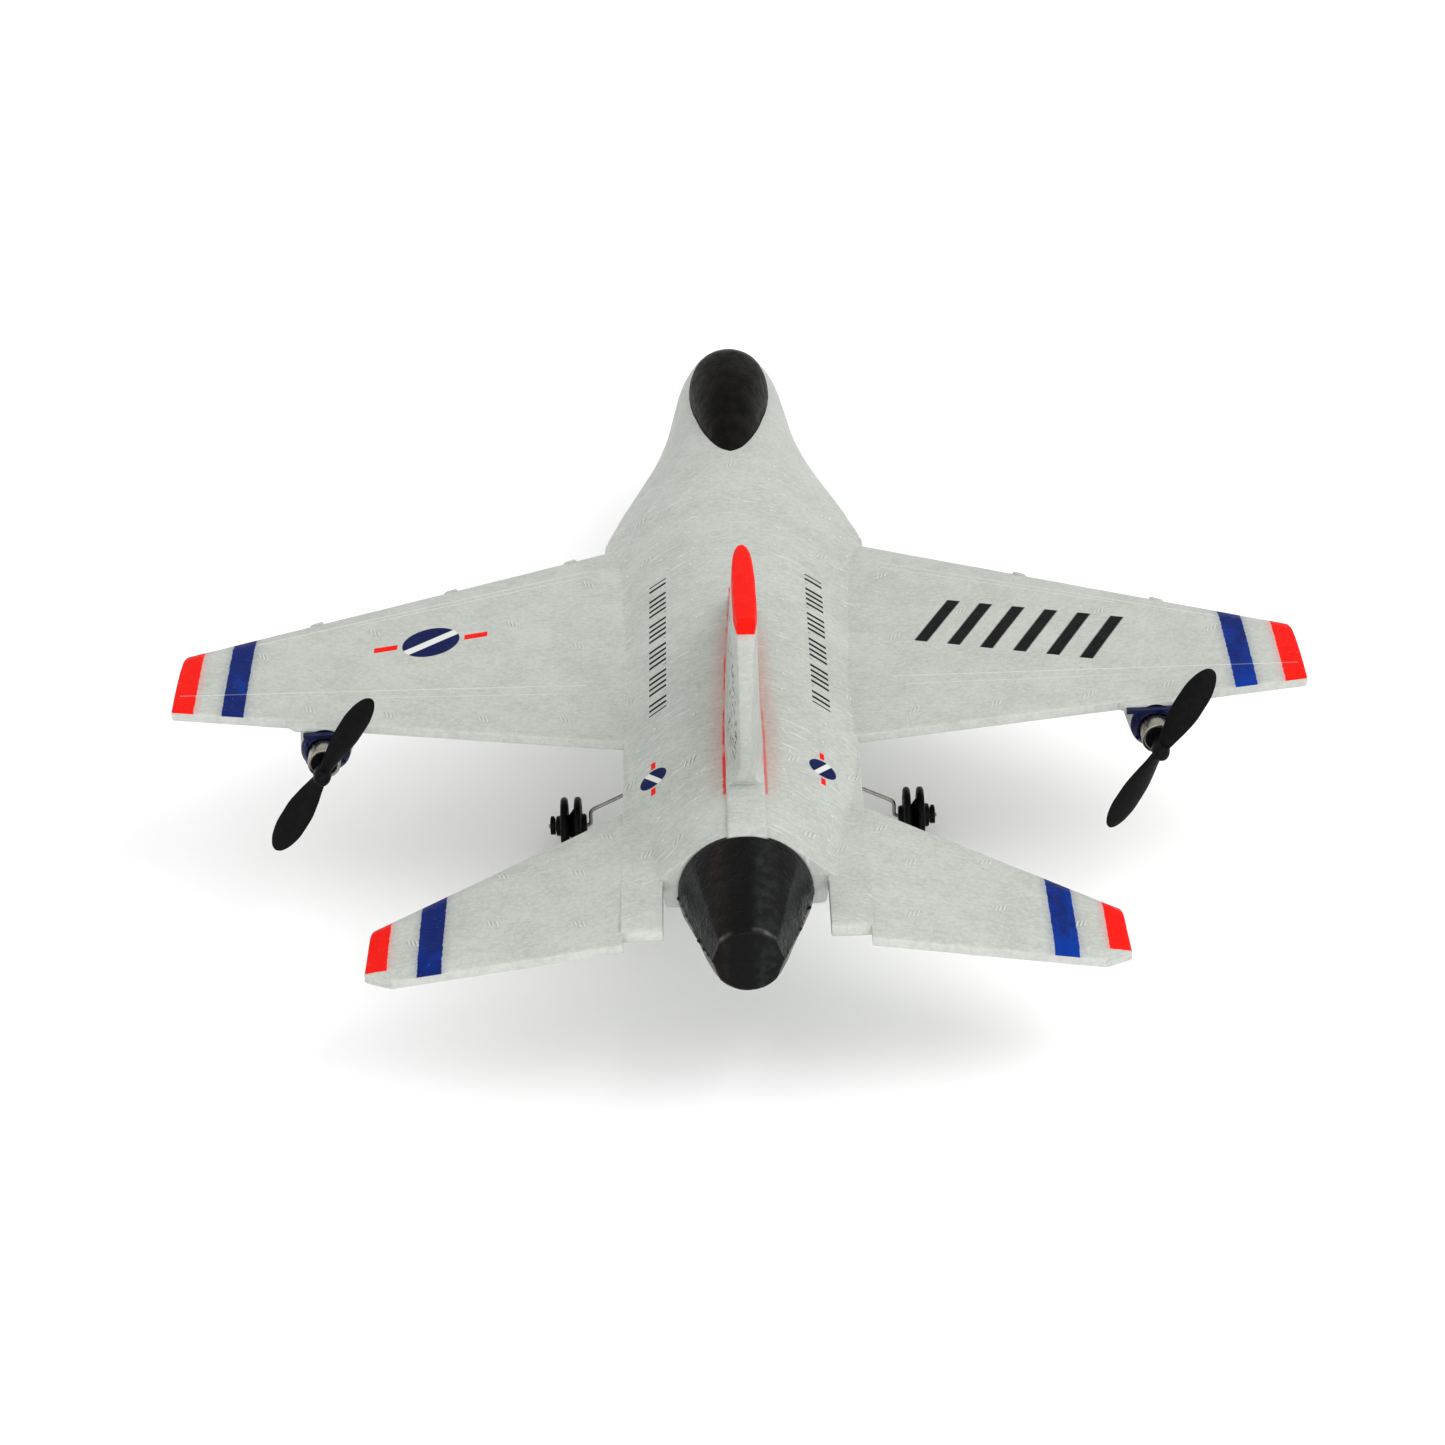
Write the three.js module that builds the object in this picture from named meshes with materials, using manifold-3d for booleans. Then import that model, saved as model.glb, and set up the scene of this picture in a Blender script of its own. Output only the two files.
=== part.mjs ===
// A small ready-to-fly foam jet with two pusher motors, standing on its wheels.
//
// Millimetres, +Z up, nose along +Y, right wing along +X. The origin is on the
// ground under the middle of the aircraft. The fuselage is moulded in an upper
// and a lower half that meet on a level parting plane just below the wing.

import * as THREE from 'three';
import { mergeVertices } from 'three/addons/utils/BufferGeometryUtils.js';
import Module from 'manifold-3d';

const wasm = await Module();
wasm.setup();

// ---------------------------------------------------------------- dimensions

const GAP = 0.3;                    // clearance between parts that touch
const WING_PLANE = 46;              // height of the wing roots above the ground
const PARTING = WING_PLANE - 2;     // where the two fuselage halves meet
const SHELF_TOP = WING_PLANE;       // top of the fuselage's thin side shelves
const SHELF_BOTTOM = WING_PLANE - 4;
const BELLY = WING_PLANE - 22;      // flat underside of the fuselage

const BODY_END_Y = -139.5;          // rear face of the foam body
const NOZZLE_END_Y = -170;

const WING = {
  rootFront: 25, rootRear: -76, tipFront: -45, tipRear: -73,
  tipX: 145, tipRise: 11, rootThickness: 6, tipThickness: 3.6,
  rearThickness: 2.6, tipRake: 0.7,
};
const TAIL = {
  rootX: 30, rootFront: -106, rootRear: -164.6, tipFront: -140, tipRear: -161.5,
  tipX: 92, tipDrop: 10.7, rootThickness: 4, tipThickness: 3,
  rearThickness: 2.4, cornerClip: 6.5,
};
const PRONG = { innerX: 20, rearY: -161 };        // side shelves beside the nozzle
const SPAR = { halfLength: 48, y: -20, width: 4, thickness: 1, z: WING_PLANE + 0.5 };

const NOZZLE = {
  centerZ: WING_PLANE - 3.4, frontRadius: 15.8, rearRadius: 8.3, spigotRadius: 9, spigot: 4,
};
const CANOPY_FLOOR = WING_PLANE + 7;

const FIN = {
  rootFront: -22, rootRear: -118, tipFront: -104, tipRear: -140.4,
  rootZ: WING_PLANE + 7, skinZ: WING_PLANE + 13, tipZ: WING_PLANE + 72.5,
  footThickness: 9.6, footRearThickness: 9.2, filletHeight: 2.5, filletThickness: 9,
  filletRearThickness: 2.6, tipThickness: 5.4, tipRearThickness: 4.4, tipRounding: 0.9,
  blockHalfWidth: 4.8, blockFront: -112, blockRear: -141, blockTop: WING_PLANE + 13.2,
};

const MOTOR = {
  x: 106, z: WING_PLANE + 1.8, canRadius: 4.2, canFront: -63, canRear: -84.5,
  sleeveInner: 4.5, sleeveOuter: 5.7, sleeveFront: -60, sleeveRear: -80, flangeRadius: 6.6,
  podRadius: 7.6, podFront: -36, podRear: -76.5, shaftRadius: 0.5, shaftFront: -82, shaftRear: -91.2,
};
const PROP = { y: -89.5, hubRadius: 2.3, hubFront: -86.2, hubRear: -93, restAngle: 65 };

const WIRE_RADIUS = 0.5;
const WIRE_BEND = 0.9;
const WHEEL = {
  radius: 7.7, hubRadius: 2.7, hubWidth: 8.2, discWidth: 1.8, discOffset: 1.8,
  bore: 0.62, collarRadius: 1.5, collarWidth: 1.1,
};
const MAIN_GEAR = {
  wheelX: 45.5, axleEnd: 51.6, kneeX: 40.3, kneeZ: 12.3, y: -54.5, z: WHEEL.radius,
  clipY: -53, flatX: 14, flatZ: BELLY + 0.7,
};
const CLIP = { halfWidth: 11, rear: -60, front: -46, thickness: 1.3 };
const SCREW = { x: 6, y: -49.5, radius: 0.8, headRadius: 1.6, headHeight: 0.8, depth: 6 };
const NOSE_GEAR = { y: 112, z: WHEEL.radius, strutX: 5.2, axleEnd: -6, socketY: 118 };
const SOCKET = { half: 4, bottom: WING_PLANE - 14, top: WING_PLANE - 8 };
const INTAKE = { halfWidth: 12, front: 84, rear: 75.2, lip: 3, height: 12 };

const BAY = { halfWidth: 10.9, rear: 0, front: 48.3, top: WING_PLANE - 9.5 };
const HINGE = { y: 46.6, z: BELLY + 0.9, pinRadius: 0.5 };
const BOARD_POCKET = { halfWidth: 12, rear: -44, front: -12, bottom: WING_PLANE - 11 };
const LEAD = { radius: 0.6, rootY: -36, podY: -57.5, bodyZ: PARTING - 0.8 };

// --------------------------------------------------------------- materials

const finish = (color, roughness, metalness = 0) =>
  new THREE.MeshStandardMaterial({ color, roughness, metalness });
const FOAM = finish(0xd3d6d4, 0.75);
const BLACK_PAINT = finish(0x16161a, 0.4);
const BLACK_PLASTIC = finish(0x141416, 0.45);
const BLUE_PLASTIC = finish(0x1d3a8f, 0.4);
const STEEL = finish(0xb8bcc2, 0.3, 1);
const WHITE_PLASTIC = finish(0xe6e6e2, 0.5);
const CARBON = finish(0x202226, 0.5);
const BATTERY_WRAP = finish(0x7f8790, 0.45);
const BOARD_GREEN = finish(0x1f6b3a, 0.5);
const RED_WIRE = finish(0xb3201c, 0.5);

// ----------------------------------------------------------- solid helpers

const aircraft = new THREE.Group();

function addPart(name, geometry, material) {
  const mesh = new THREE.Mesh(geometry, material);
  mesh.name = name;
  aircraft.add(mesh);
  return mesh;
}

function signedVolume(geometry) {
  const position = geometry.getAttribute('position');
  const index = geometry.getIndex();
  const corner = [new THREE.Vector3(), new THREE.Vector3(), new THREE.Vector3()];
  let volume = 0;
  for (let i = 0; i < index.count; i += 3) {
    corner.forEach((point, k) => point.fromBufferAttribute(position, index.getX(i + k)));
    volume += corner[0].dot(corner[1].clone().cross(corner[2]));
  }
  return volume;
}

function facingOut(geometry) {
  if (signedVolume(geometry) < 0) {
    const array = geometry.getIndex().array;
    for (let i = 0; i < array.length; i += 3) {
      [array[i], array[i + 1]] = [array[i + 1], array[i]];
    }
  }
  geometry.computeVertexNormals();
  return geometry;
}

// Skins a row of rings, all with the same number of points, and caps both ends.
// flatten(point) gives the two coordinates in which an end cap is triangulated.
function loft(rings, flatten) {
  const count = rings[0].length;
  const indices = [];
  for (let r = 0; r + 1 < rings.length; r += 1) {
    for (let i = 0; i < count; i += 1) {
      const j = (i + 1) % count;
      const [a, b, c, d] = [r * count + i, r * count + j, (r + 1) * count + j, (r + 1) * count + i];
      indices.push(a, b, c, a, c, d);
    }
  }
  [0, rings.length - 1].forEach((r) => {
    const outline = rings[r].map((point) => new THREE.Vector2(...flatten(point)));
    const windsBack = THREE.ShapeUtils.isClockWise(outline);
    THREE.ShapeUtils.triangulateShape(outline, []).forEach(([a, b, c]) => {
      const face = ((r === 0) !== windsBack) ? [a, c, b] : [a, b, c];
      indices.push(...face.map((k) => r * count + k));
    });
  });
  const geometry = new THREE.BufferGeometry();
  geometry.setAttribute('position', new THREE.Float32BufferAttribute(rings.flat().flat(), 3));
  geometry.setIndex(indices);
  return facingOut(geometry);
}

const alongX = ([, y, z]) => [y, z];
const alongY = ([x, , z]) => [x, z];
const alongZ = ([x, y]) => [x, y];

function toSolid(geometry) {
  const merged = closed(geometry);
  return new wasm.Manifold(new wasm.Mesh({
    numProp: 3,
    vertProperties: new Float32Array(merged.getAttribute('position').array),
    triVerts: new Uint32Array(merged.getIndex().array),
  }));
}

function toGeometry(solid) {
  const mesh = solid.getMesh();
  const geometry = new THREE.BufferGeometry();
  geometry.setAttribute('position', new THREE.Float32BufferAttribute(mesh.vertProperties, 3));
  geometry.setIndex(Array.from(mesh.triVerts));
  geometry.computeVertexNormals();
  return geometry;
}

function combine(base, { add = [], cut = [] }) {
  const joined = add.reduce((solid, extra) => solid.add(toSolid(extra)), toSolid(base));
  return toGeometry(cut.reduce((solid, tool) => solid.subtract(toSolid(tool)), joined));
}

const mirrored = (geometry) => closed(geometry.clone().scale(-1, 1, 1));

// A box given by its lowest and highest corners.
function box([x0, y0, z0], [x1, y1, z1]) {
  const geometry = new THREE.BoxGeometry(x1 - x0, y1 - y0, z1 - z0);
  return geometry.translate((x0 + x1) / 2, (y0 + y1) / 2, (z0 + z1) / 2);
}

// Merges the seams of a three.js shape and drops the slivers left at its poles.
function closed(geometry) {
  const bare = geometry.clone();
  bare.deleteAttribute('normal');
  bare.deleteAttribute('uv');
  const merged = mergeVertices(bare, 1e-4);
  const array = merged.getIndex().array;
  const kept = [];
  for (let i = 0; i < array.length; i += 3) {
    const [a, b, c] = [array[i], array[i + 1], array[i + 2]];
    if (a !== b && b !== c && c !== a) kept.push(a, b, c);
  }
  merged.setIndex(kept);
  return facingOut(merged);
}

// A turned solid. The profile is a list of [radius, place along the axis] that
// starts and ends on the axis, or closes on itself for a ring.
function turned(profile, sides) {
  const points = profile.map(([radius, along]) => new THREE.Vector2(radius, along));
  return closed(new THREE.LatheGeometry(points, sides));
}

const turnedAboutY = (profile, x, z, sides = 20) => turned(profile, sides).translate(x, 0, z);
const turnedAboutX = (profile, y, z, sides = 20) =>
  turned(profile, sides).rotateZ(-Math.PI / 2).translate(0, y, z);
const turnedAboutZ = (profile, x, y, sides = 20) =>
  turned(profile, sides).rotateX(Math.PI / 2).translate(x, y, 0);

const rod = (radius, from, to) => [[0, from], [radius, from], [radius, to], [0, to]];
const sleeve = (inner, outer, from, to) =>
  [[inner, from], [outer, from], [outer, to], [inner, to], [inner, from]];

// A round wire along straight runs joined by bends of the given radius.
function bentWire(corners, radius, bend, steps) {
  const points = corners.map((corner) => new THREE.Vector3(...corner));
  const path = new THREE.CurvePath();
  let start = points[0];
  for (let i = 1; i + 1 < points.length; i += 1) {
    const before = points[i].clone().add(points[i - 1].clone().sub(points[i]).setLength(bend));
    const after = points[i].clone().add(points[i + 1].clone().sub(points[i]).setLength(bend));
    path.add(new THREE.LineCurve3(start, before));
    path.add(new THREE.QuadraticBezierCurve3(before, points[i], after));
    start = after;
  }
  path.add(new THREE.LineCurve3(start, points[points.length - 1]));
  const section = new THREE.Shape();
  section.absarc(0, 0, radius, 0, Math.PI * 2);
  const options = { steps, curveSegments: 4, bevelEnabled: false, extrudePath: path };
  return closed(new THREE.ExtrudeGeometry(section, options));
}

// Smooth interpolation through rows of [position, value, value, ...] without
// overshoot. The rows run from high to low position.
function smoothRow(rows, at) {
  let i = 0;
  while (i < rows.length - 2 && at < rows[i + 1][0]) i += 1;
  const [low, high] = [rows[i], rows[i + 1]];
  const span = high[0] - low[0];
  const t = (at - low[0]) / span;
  return low.slice(1).map((value, k) => {
    const slope = (j) => (j < 0 || j + 1 >= rows.length)
      ? null
      : (rows[j + 1][k + 1] - rows[j][k + 1]) / (rows[j + 1][0] - rows[j][0]);
    const tangent = (left, right) => {
      if (left === null) return right;
      if (right === null) return left;
      return (left * right <= 0) ? 0 : (2 * left * right) / (left + right);
    };
    const m0 = tangent(slope(i - 1), slope(i)) * span;
    const m1 = tangent(slope(i), slope(i + 1)) * span;
    const next = high[k + 1];
    return (2 * t ** 3 - 3 * t ** 2 + 1) * value + (t ** 3 - 2 * t ** 2 + t) * m0
      + (3 * t ** 2 - 2 * t ** 3) * next + (t ** 3 - t ** 2) * m1;
  });
}

// ---------------------------------------------------------------- fuselage

// [y, half width, spine height, dome half width, dome power, side height]: the
// heights are above the wing plane, and the side height above the parting plane.
const UPPER_ROWS = [
  [170, 1.6, -0.8, 1.6, 0.5, 0.3],
  [163, 5.0, 1.4, 5.0, 0.5, 0.3],
  [148, 9.2, 5.8, 9.2, 0.5, 0.3],
  [134, 12.0, 9.8, 12.0, 0.5, 0.3],
  [120, 14.9, 12.2, 14.9, 0.5, 0.3],
  [105, 17.0, 14.0, 17.0, 0.56, 0.3],
  [92, 18.8, 15.0, 18.8, 0.65, 0.5],
  [80, 21.4, 15.4, 21.4, 0.8, 0.9],
  [68, 25.2, 15.4, 25.2, 1.05, 1.4],
  [56, 29.4, 15.2, 29.4, 1.25, 1.9],
  [42, 33.4, 14.8, 33.4, 1.35, 2.4],
  [25, 35.8, 14.3, 35.0, 1.35, 3.0],
  [-20, 33.2, 13.5, 33.0, 1.25, 3.3],
  [-76, 30.0, 12.6, 30.0, 1.1, 3.0],
  [-106, 30.0, 12.4, 27.0, 1.0, 2.2],
  [-125, 30.0, 12.4, 21.0, 1.0, 2.0],
  [-139.5, 30.0, 12.4, 17.0, 0.95, 2.0],
];
// [y, belly half width, depth below the parting plane, boxiness 0..1, collar 0..1]
const LOWER_ROWS = [
  [170, 1.2, 1.4, 0, 0],
  [163, 4.4, 5.0, 0, 0],
  [148, 8.4, 8.6, 0, 0],
  [134, 11.2, 10.4, 0, 0],
  [120, 14.0, 11.4, 0.1, 0],
  [105, 16.0, 12.0, 0.3, 0],
  [92, 17.0, 12.4, 0.5, 0],
  [81, 17.4, 12.8, 0.6, 0],
  [77, 16.0, 19.6, 0.9, 0],
  [70, 17.4, 20.0, 1, 0],
  [-60, 17.4, 20.0, 1, 0],
  [-102, 18.4, 19.8, 0.6, 0],
  [-122, 19.2, 18.2, 0.45, 0.3],
  [-139.5, 20.0, 14.9, 0.3, 1],
];
const BODY_STATIONS = [
  170, 163, 156, 148, 141, 134, 120, 105, 92, 81, 77, 70, 63, 56, 49, 42, 34, 25,
  2, -20, -44, -76, -91, -106, -116, -125, -133, -139.5,
];

const DROOP = { start: 122, end: 170, depth: 8.2, power: 1.4 };

const halfWidthAt = (y) => smoothRow(UPPER_ROWS, y)[0];

// Lowers the rings of the nose, which droops towards its tip.
function drooped(ring) {
  return ring.map(([x, y, z]) => {
    const share = Math.max(0, (y - DROOP.start) / (DROOP.end - DROOP.start));
    return [x, y, z - DROOP.depth * share ** DROOP.power];
  });
}

// Half height of the body's upper skin above the parting plane, at offset x.
function upperSkin(y, x) {
  const [width, spine, dome, power, side] = smoothRow(UPPER_ROWS, y);
  const rise = WING_PLANE + spine - PARTING - side;
  const reach = Math.min(1, Math.abs(x) / Math.min(dome, width));
  return PARTING + side + rise * (1 - reach * reach) ** power;
}

function upperRing(y) {
  const width = halfWidthAt(y);
  const across = [1, 0.94, 0.85, 0.74, 0.62, 0.5, 0.37, 0.24, 0.12];
  const right = across.map((s) => [s * width, y, upperSkin(y, s * width)]);
  const left = across.map((s) => [-s * width, y, upperSkin(y, s * width)]).reverse();
  const floor = PARTING + GAP / 2;
  const middle = [0, y, upperSkin(y, 0)];
  return drooped([[width, y, floor], ...right, middle, ...left, [-width, y, floor]]);
}

// The belly goes from an ellipse at the nose to a rounded box behind the intake and
// ends in a collar round the exhaust nozzle.
const ELLIPSE = [[1, 0.06], [0.97, 0.3], [0.87, 0.52], [0.71, 0.73], [0.5, 0.9], [0.3, 1]];
const ROUND_BOX = [[1, 0.14], [1, 0.45], [0.96, 0.7], [0.86, 0.9], [0.7, 0.985], [0.52, 1]];
const COLLAR = [[1, 0.05], [0.97, 0.3], [0.72, 0.34], [0.62, 0.62], [0.46, 0.85], [0.24, 1]];

function lowerRing(y) {
  const width = halfWidthAt(y);
  const [bellyWidth, depth, boxiness, collar] = smoothRow(LOWER_ROWS, y);
  const top = PARTING - GAP / 2;
  const side = Math.min(2, depth * 0.25);
  const bellyTop = PARTING - side;
  const { lerp } = THREE.MathUtils;
  const right = ELLIPSE.map((corner, i) => {
    const [px, pz] = corner.map((place, k) => (
      lerp(lerp(place, ROUND_BOX[i][k], boxiness), COLLAR[i][k], collar)
    ));
    return [px * bellyWidth, y, bellyTop - pz * (depth - side)];
  });
  const left = right.map(([x, , z]) => [-x, y, z]).reverse();
  const chine = [[width, y, top], [width, y, bellyTop]];
  const otherChine = [[-width, y, bellyTop], [-width, y, top]];
  return drooped([...chine, ...right, ...left, ...otherChine]);
}

// The slot that the fin stands in, and the recess for the block behind it.
function finSlot() {
  const half = FIN.blockHalfWidth + GAP;
  const floor = FIN.rootZ - GAP;
  const top = WING_PLANE + 30;
  return [
    loft([finFoot(floor, GAP), finFoot(top, GAP)], alongZ),
    box([-half, BODY_END_Y - 2, floor], [half, FIN.blockFront + GAP, top]),
  ];
}

function upperFuselage() {
  const prong = (side) => {
    const x = [side * PRONG.innerX, side * TAIL.rootX].sort((a, b) => a - b);
    const rear = box([x[0], PRONG.rearY, SHELF_BOTTOM], [x[1], BODY_END_Y - GAP, SHELF_TOP]);
    const front = box(
      [x[0], BODY_END_Y - 1, PARTING + GAP / 2],
      [x[1], BODY_END_Y + 4, SHELF_TOP],
    );
    return [rear, front];
  };
  const sparSlot = box(
    [-60, SPAR.y - SPAR.width / 2 - GAP, SPAR.z - SPAR.thickness / 2 - GAP],
    [60, SPAR.y + SPAR.width / 2 + GAP, SPAR.z + SPAR.thickness / 2 + GAP],
  );
  return combine(loft(BODY_STATIONS.map(upperRing), alongY), {
    add: [...prong(-1), ...prong(1)],
    cut: [...finSlot(), sparSlot, canopyBody(GAP), nozzleSocket()],
  });
}

function lowerFuselage() {
  const batteryBay = box([-BAY.halfWidth, BAY.rear, BELLY - 1], [BAY.halfWidth, BAY.front, BAY.top]);
  const boardPocket = box(
    [-BOARD_POCKET.halfWidth, BOARD_POCKET.rear, BOARD_POCKET.bottom],
    [BOARD_POCKET.halfWidth, BOARD_POCKET.front, PARTING + 1],
  );
  const wireWay = box([-2.5, BOARD_POCKET.front - 1, BAY.top - 4], [2.5, BAY.rear + 1, BAY.top - 0.6]);
  const leadChannel = box(
    [-40, LEAD.rootY - 1.2, PARTING - 2.6],
    [40, LEAD.rootY + 1.2, PARTING + 1],
  );
  const gearGroove = box(
    [-20, MAIN_GEAR.clipY - 1, BELLY - 1],
    [20, MAIN_GEAR.clipY + 1, BELLY + 1.4],
  );
  const screwHoles = [-1, 1].map((side) => turnedAboutZ(
    rod(SCREW.radius + GAP, BELLY - 1, BELLY + SCREW.depth + GAP),
    side * SCREW.x, SCREW.y, 10,
  ));
  const socketHole = box(
    [-SOCKET.half - GAP, NOSE_GEAR.socketY - SOCKET.half - GAP, SOCKET.bottom - 20],
    [SOCKET.half + GAP, NOSE_GEAR.socketY + SOCKET.half + GAP, SOCKET.top + GAP],
  );
  const intakeMouth = box(
    [-INTAKE.halfWidth, INTAKE.rear, BELLY + INTAKE.lip],
    [INTAKE.halfWidth, INTAKE.front, BELLY + INTAKE.height],
  );
  return combine(loft(BODY_STATIONS.map(lowerRing), alongY), {
    cut: [
      batteryBay, boardPocket, wireWay, leadChannel, gearGroove, ...screwHoles,
      socketHole, intakeMouth, nozzleSocket(),
    ],
  });
}

// ------------------------------------------------------------------ nozzle

// The nozzle tapers from the body's end to a small flat rear face, and has a
// short spigot that is glued into the body.
function nozzleSocket() {
  const profile = rod(NOZZLE.spigotRadius + GAP, BODY_END_Y - 1, BODY_END_Y + NOZZLE.spigot + GAP);
  return turnedAboutY(profile, 0, NOZZLE.centerZ, 24);
}

function nozzleBody() {
  const { centerZ, frontRadius, rearRadius, spigotRadius, spigot } = NOZZLE;
  const front = BODY_END_Y - GAP;
  const profile = [
    [0, NOZZLE_END_Y], [rearRadius, NOZZLE_END_Y], [rearRadius + 2, NOZZLE_END_Y + 5],
    [frontRadius - 2.6, front - 10], [frontRadius - 0.6, front - 3.5], [frontRadius, front],
    [spigotRadius, front], [spigotRadius, BODY_END_Y + spigot], [0, BODY_END_Y + spigot],
  ];
  return turnedAboutY(profile, 0, centerZ, 28);
}

function nozzleHalf(isUpper) {
  const [reach, front, rear] = [40, BODY_END_Y + 20, NOZZLE_END_Y - 5];
  const seam = NOZZLE.centerZ + (isUpper ? GAP / 2 : -GAP / 2);
  const otherHalf = isUpper
    ? box([-reach, rear, seam - reach], [reach, front, seam])
    : box([-reach, rear, seam], [reach, front, seam + reach]);
  const finBlock = box(
    [-FIN.blockHalfWidth - GAP, FIN.blockRear - GAP, FIN.rootZ - GAP],
    [FIN.blockHalfWidth + GAP, front, FIN.blockTop + GAP],
  );
  return combine(nozzleBody(), { cut: isUpper ? [otherHalf, finBlock] : [otherHalf] });
}

// ------------------------------------------------------------------ canopy

// [y, half width, height above the wing plane], nose to tail.
const CANOPY_ROWS = [
  [128, 1.2, 11.4], [126.4, 4.2, 12.8], [122, 7.4, 15.2], [115, 10.2, 18.6], [106, 11.6, 22.8],
  [97, 11.8, 25.8], [88, 11.2, 26], [77, 9.5, 24], [68, 7.6, 20.6], [61, 5.3, 17.6],
  [57.6, 3.2, 16.3], [56, 1.2, 15.7],
];
const CANOPY_BELT = 12;             // height of its widest line above the wing plane

// The egg-shaped canopy; margin grows it all round for the recess it sits in.
function canopyBody(margin = 0) {
  const steps = 10;
  const rings = CANOPY_ROWS.map(([y, halfWidth, top], i) => {
    const end = (i === 0) ? 1 : (i === CANOPY_ROWS.length - 1) ? -1 : 0;
    const belt = WING_PLANE + Math.min(CANOPY_BELT, top - 1);
    const width = halfWidth + margin;
    const rise = WING_PLANE + top + margin - belt;
    const ring = [];
    for (let k = 0; k <= steps; k += 1) {
      const angle = (Math.PI * k) / steps;
      ring.push([width * Math.cos(angle), y + end * margin, belt + rise * Math.sin(angle)]);
    }
    const floor = CANOPY_FLOOR - margin;
    return [...ring, [-width * 0.9, y + end * margin, floor], [width * 0.9, y + end * margin, floor]];
  });
  return loft(rings, alongY);
}

// ------------------------------------------------------- wings and tailplane

// [place on the chord from rear to front, share of the full half thickness].
const AEROFOIL = [[0, 0], [0.12, 0.4], [0.3, 0.85], [0.5, 1], [0.7, 0.98], [0.85, 0.84],
  [0.94, 0.6], [0.985, 0.32]];

function halfThickness(share, full, rear) {
  return rear / 2 + share * (full - rear) / 2;
}

// One section of a wing: bottom points from rear to front, then the top ones back.
function sectionRing(xAt, rearY, frontY, centerZ, full, rear) {
  const place = ([along, share], side) => {
    const y = THREE.MathUtils.lerp(rearY, frontY, along);
    const half = along < 0.9 ? halfThickness(share, full, rear) : share * full / 2;
    return [xAt(y, along), y, centerZ + side * half];
  };
  const bottom = AEROFOIL.map((point) => place(point, -1));
  const top = AEROFOIL.map((point) => place(point, 1)).reverse();
  return [...bottom, [xAt(frontY, 1), frontY, centerZ], ...top];
}

function blendRings(from, to, count) {
  return Array.from({ length: count + 1 }, (_, i) => from.map((point, k) =>
    point.map((value, axis) => THREE.MathUtils.lerp(value, to[k][axis], i / count))));
}

const wingRootX = (y) => halfWidthAt(y) + GAP;

function wingPanel() {
  const root = sectionRing(wingRootX, WING.rootRear, WING.rootFront, WING_PLANE,
    WING.rootThickness, WING.rearThickness);
  const tipX = (y, along) => WING.tipX - WING.tipRake * along ** 3;
  const tip = sectionRing(tipX, WING.tipRear, WING.tipFront, WING_PLANE + WING.tipRise,
    WING.tipThickness, WING.rearThickness);
  return loft(blendRings(root, tip, 4), alongX);
}

// Height of the wing's underside at x, on the straight line that the lead follows.
function wingUnderside(x) {
  const span = (x - wingRootX(LEAD.rootY)) / (WING.tipX - wingRootX(LEAD.rootY));
  const thickness = THREE.MathUtils.lerp(WING.rootThickness, WING.tipThickness, span);
  return WING_PLANE + span * WING.tipRise - thickness / 2;
}

function motorPod() {
  const { podRadius, podFront, podRear, x, z } = MOTOR;
  const profile = [
    [0, podFront], [2.4, podFront - 2.5], [4.8, podFront - 8], [6.8, podFront - 17],
    [podRadius, podFront - 26], [podRadius, podRear], [0, podRear],
  ];
  return turnedAboutY(profile, x, z, 20);
}

// Corner points of the motor lead from the board pocket to the motor's front.
function leadRoute() {
  const wingEntry = [wingRootX(LEAD.rootY) + 2, LEAD.rootY, LEAD.bodyZ];
  const podEntry = [MOTOR.x - MOTOR.sleeveOuter - 2, LEAD.podY];
  return [
    [BOARD_POCKET.halfWidth + 0.5, LEAD.rootY, LEAD.bodyZ],
    wingEntry,
    [...podEntry, wingUnderside(podEntry[0]) + LEAD.radius + GAP],
    [MOTOR.x - 1, LEAD.podY, MOTOR.z],
  ];
}

function leadGroove() {
  const [, entry, pod, end] = leadRoute();
  const half = LEAD.radius + GAP;
  const ring = ([x, y, z]) => [
    [x, y - half, z - 4], [x, y + half, z - 4], [x, y + half, z + half], [x, y - half, z + half],
  ];
  const inboard = [entry[0] - 6, entry[1], entry[2]];
  return loft([inboard, entry, pod, end].map(ring), alongX);
}

function wing() {
  const motorBore = turnedAboutY(
    rod(MOTOR.sleeveOuter + GAP, LEAD.podY + 2.5, MOTOR.podRear - 20),
    MOTOR.x, MOTOR.z, 24,
  );
  const sparPocket = box(
    [20, SPAR.y - SPAR.width / 2 - GAP, SPAR.z - SPAR.thickness / 2 - GAP],
    [SPAR.halfLength + 1, SPAR.y + SPAR.width / 2 + GAP, SPAR.z + SPAR.thickness / 2 + GAP],
  );
  return combine(wingPanel(), { add: [motorPod()], cut: [motorBore, sparPocket, leadGroove()] });
}

function tailplane() {
  const centerZ = (SHELF_TOP + SHELF_BOTTOM) / 2;
  const root = sectionRing(() => TAIL.rootX + GAP, TAIL.rootRear, TAIL.rootFront, centerZ,
    TAIL.rootThickness, TAIL.rearThickness);
  const tipX = (y, along) => TAIL.tipX - (along < 0.05 ? TAIL.cornerClip : 1.6 * along);
  const tip = sectionRing(tipX, TAIL.tipRear, TAIL.tipFront, centerZ - TAIL.tipDrop,
    TAIL.tipThickness, TAIL.rearThickness);
  return loft(blendRings(root, tip, 3), alongX);
}

// --------------------------------------------------------------------- fin

const finHeight = (z) => (z - FIN.skinZ) / (FIN.tipZ - FIN.skinZ);

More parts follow.
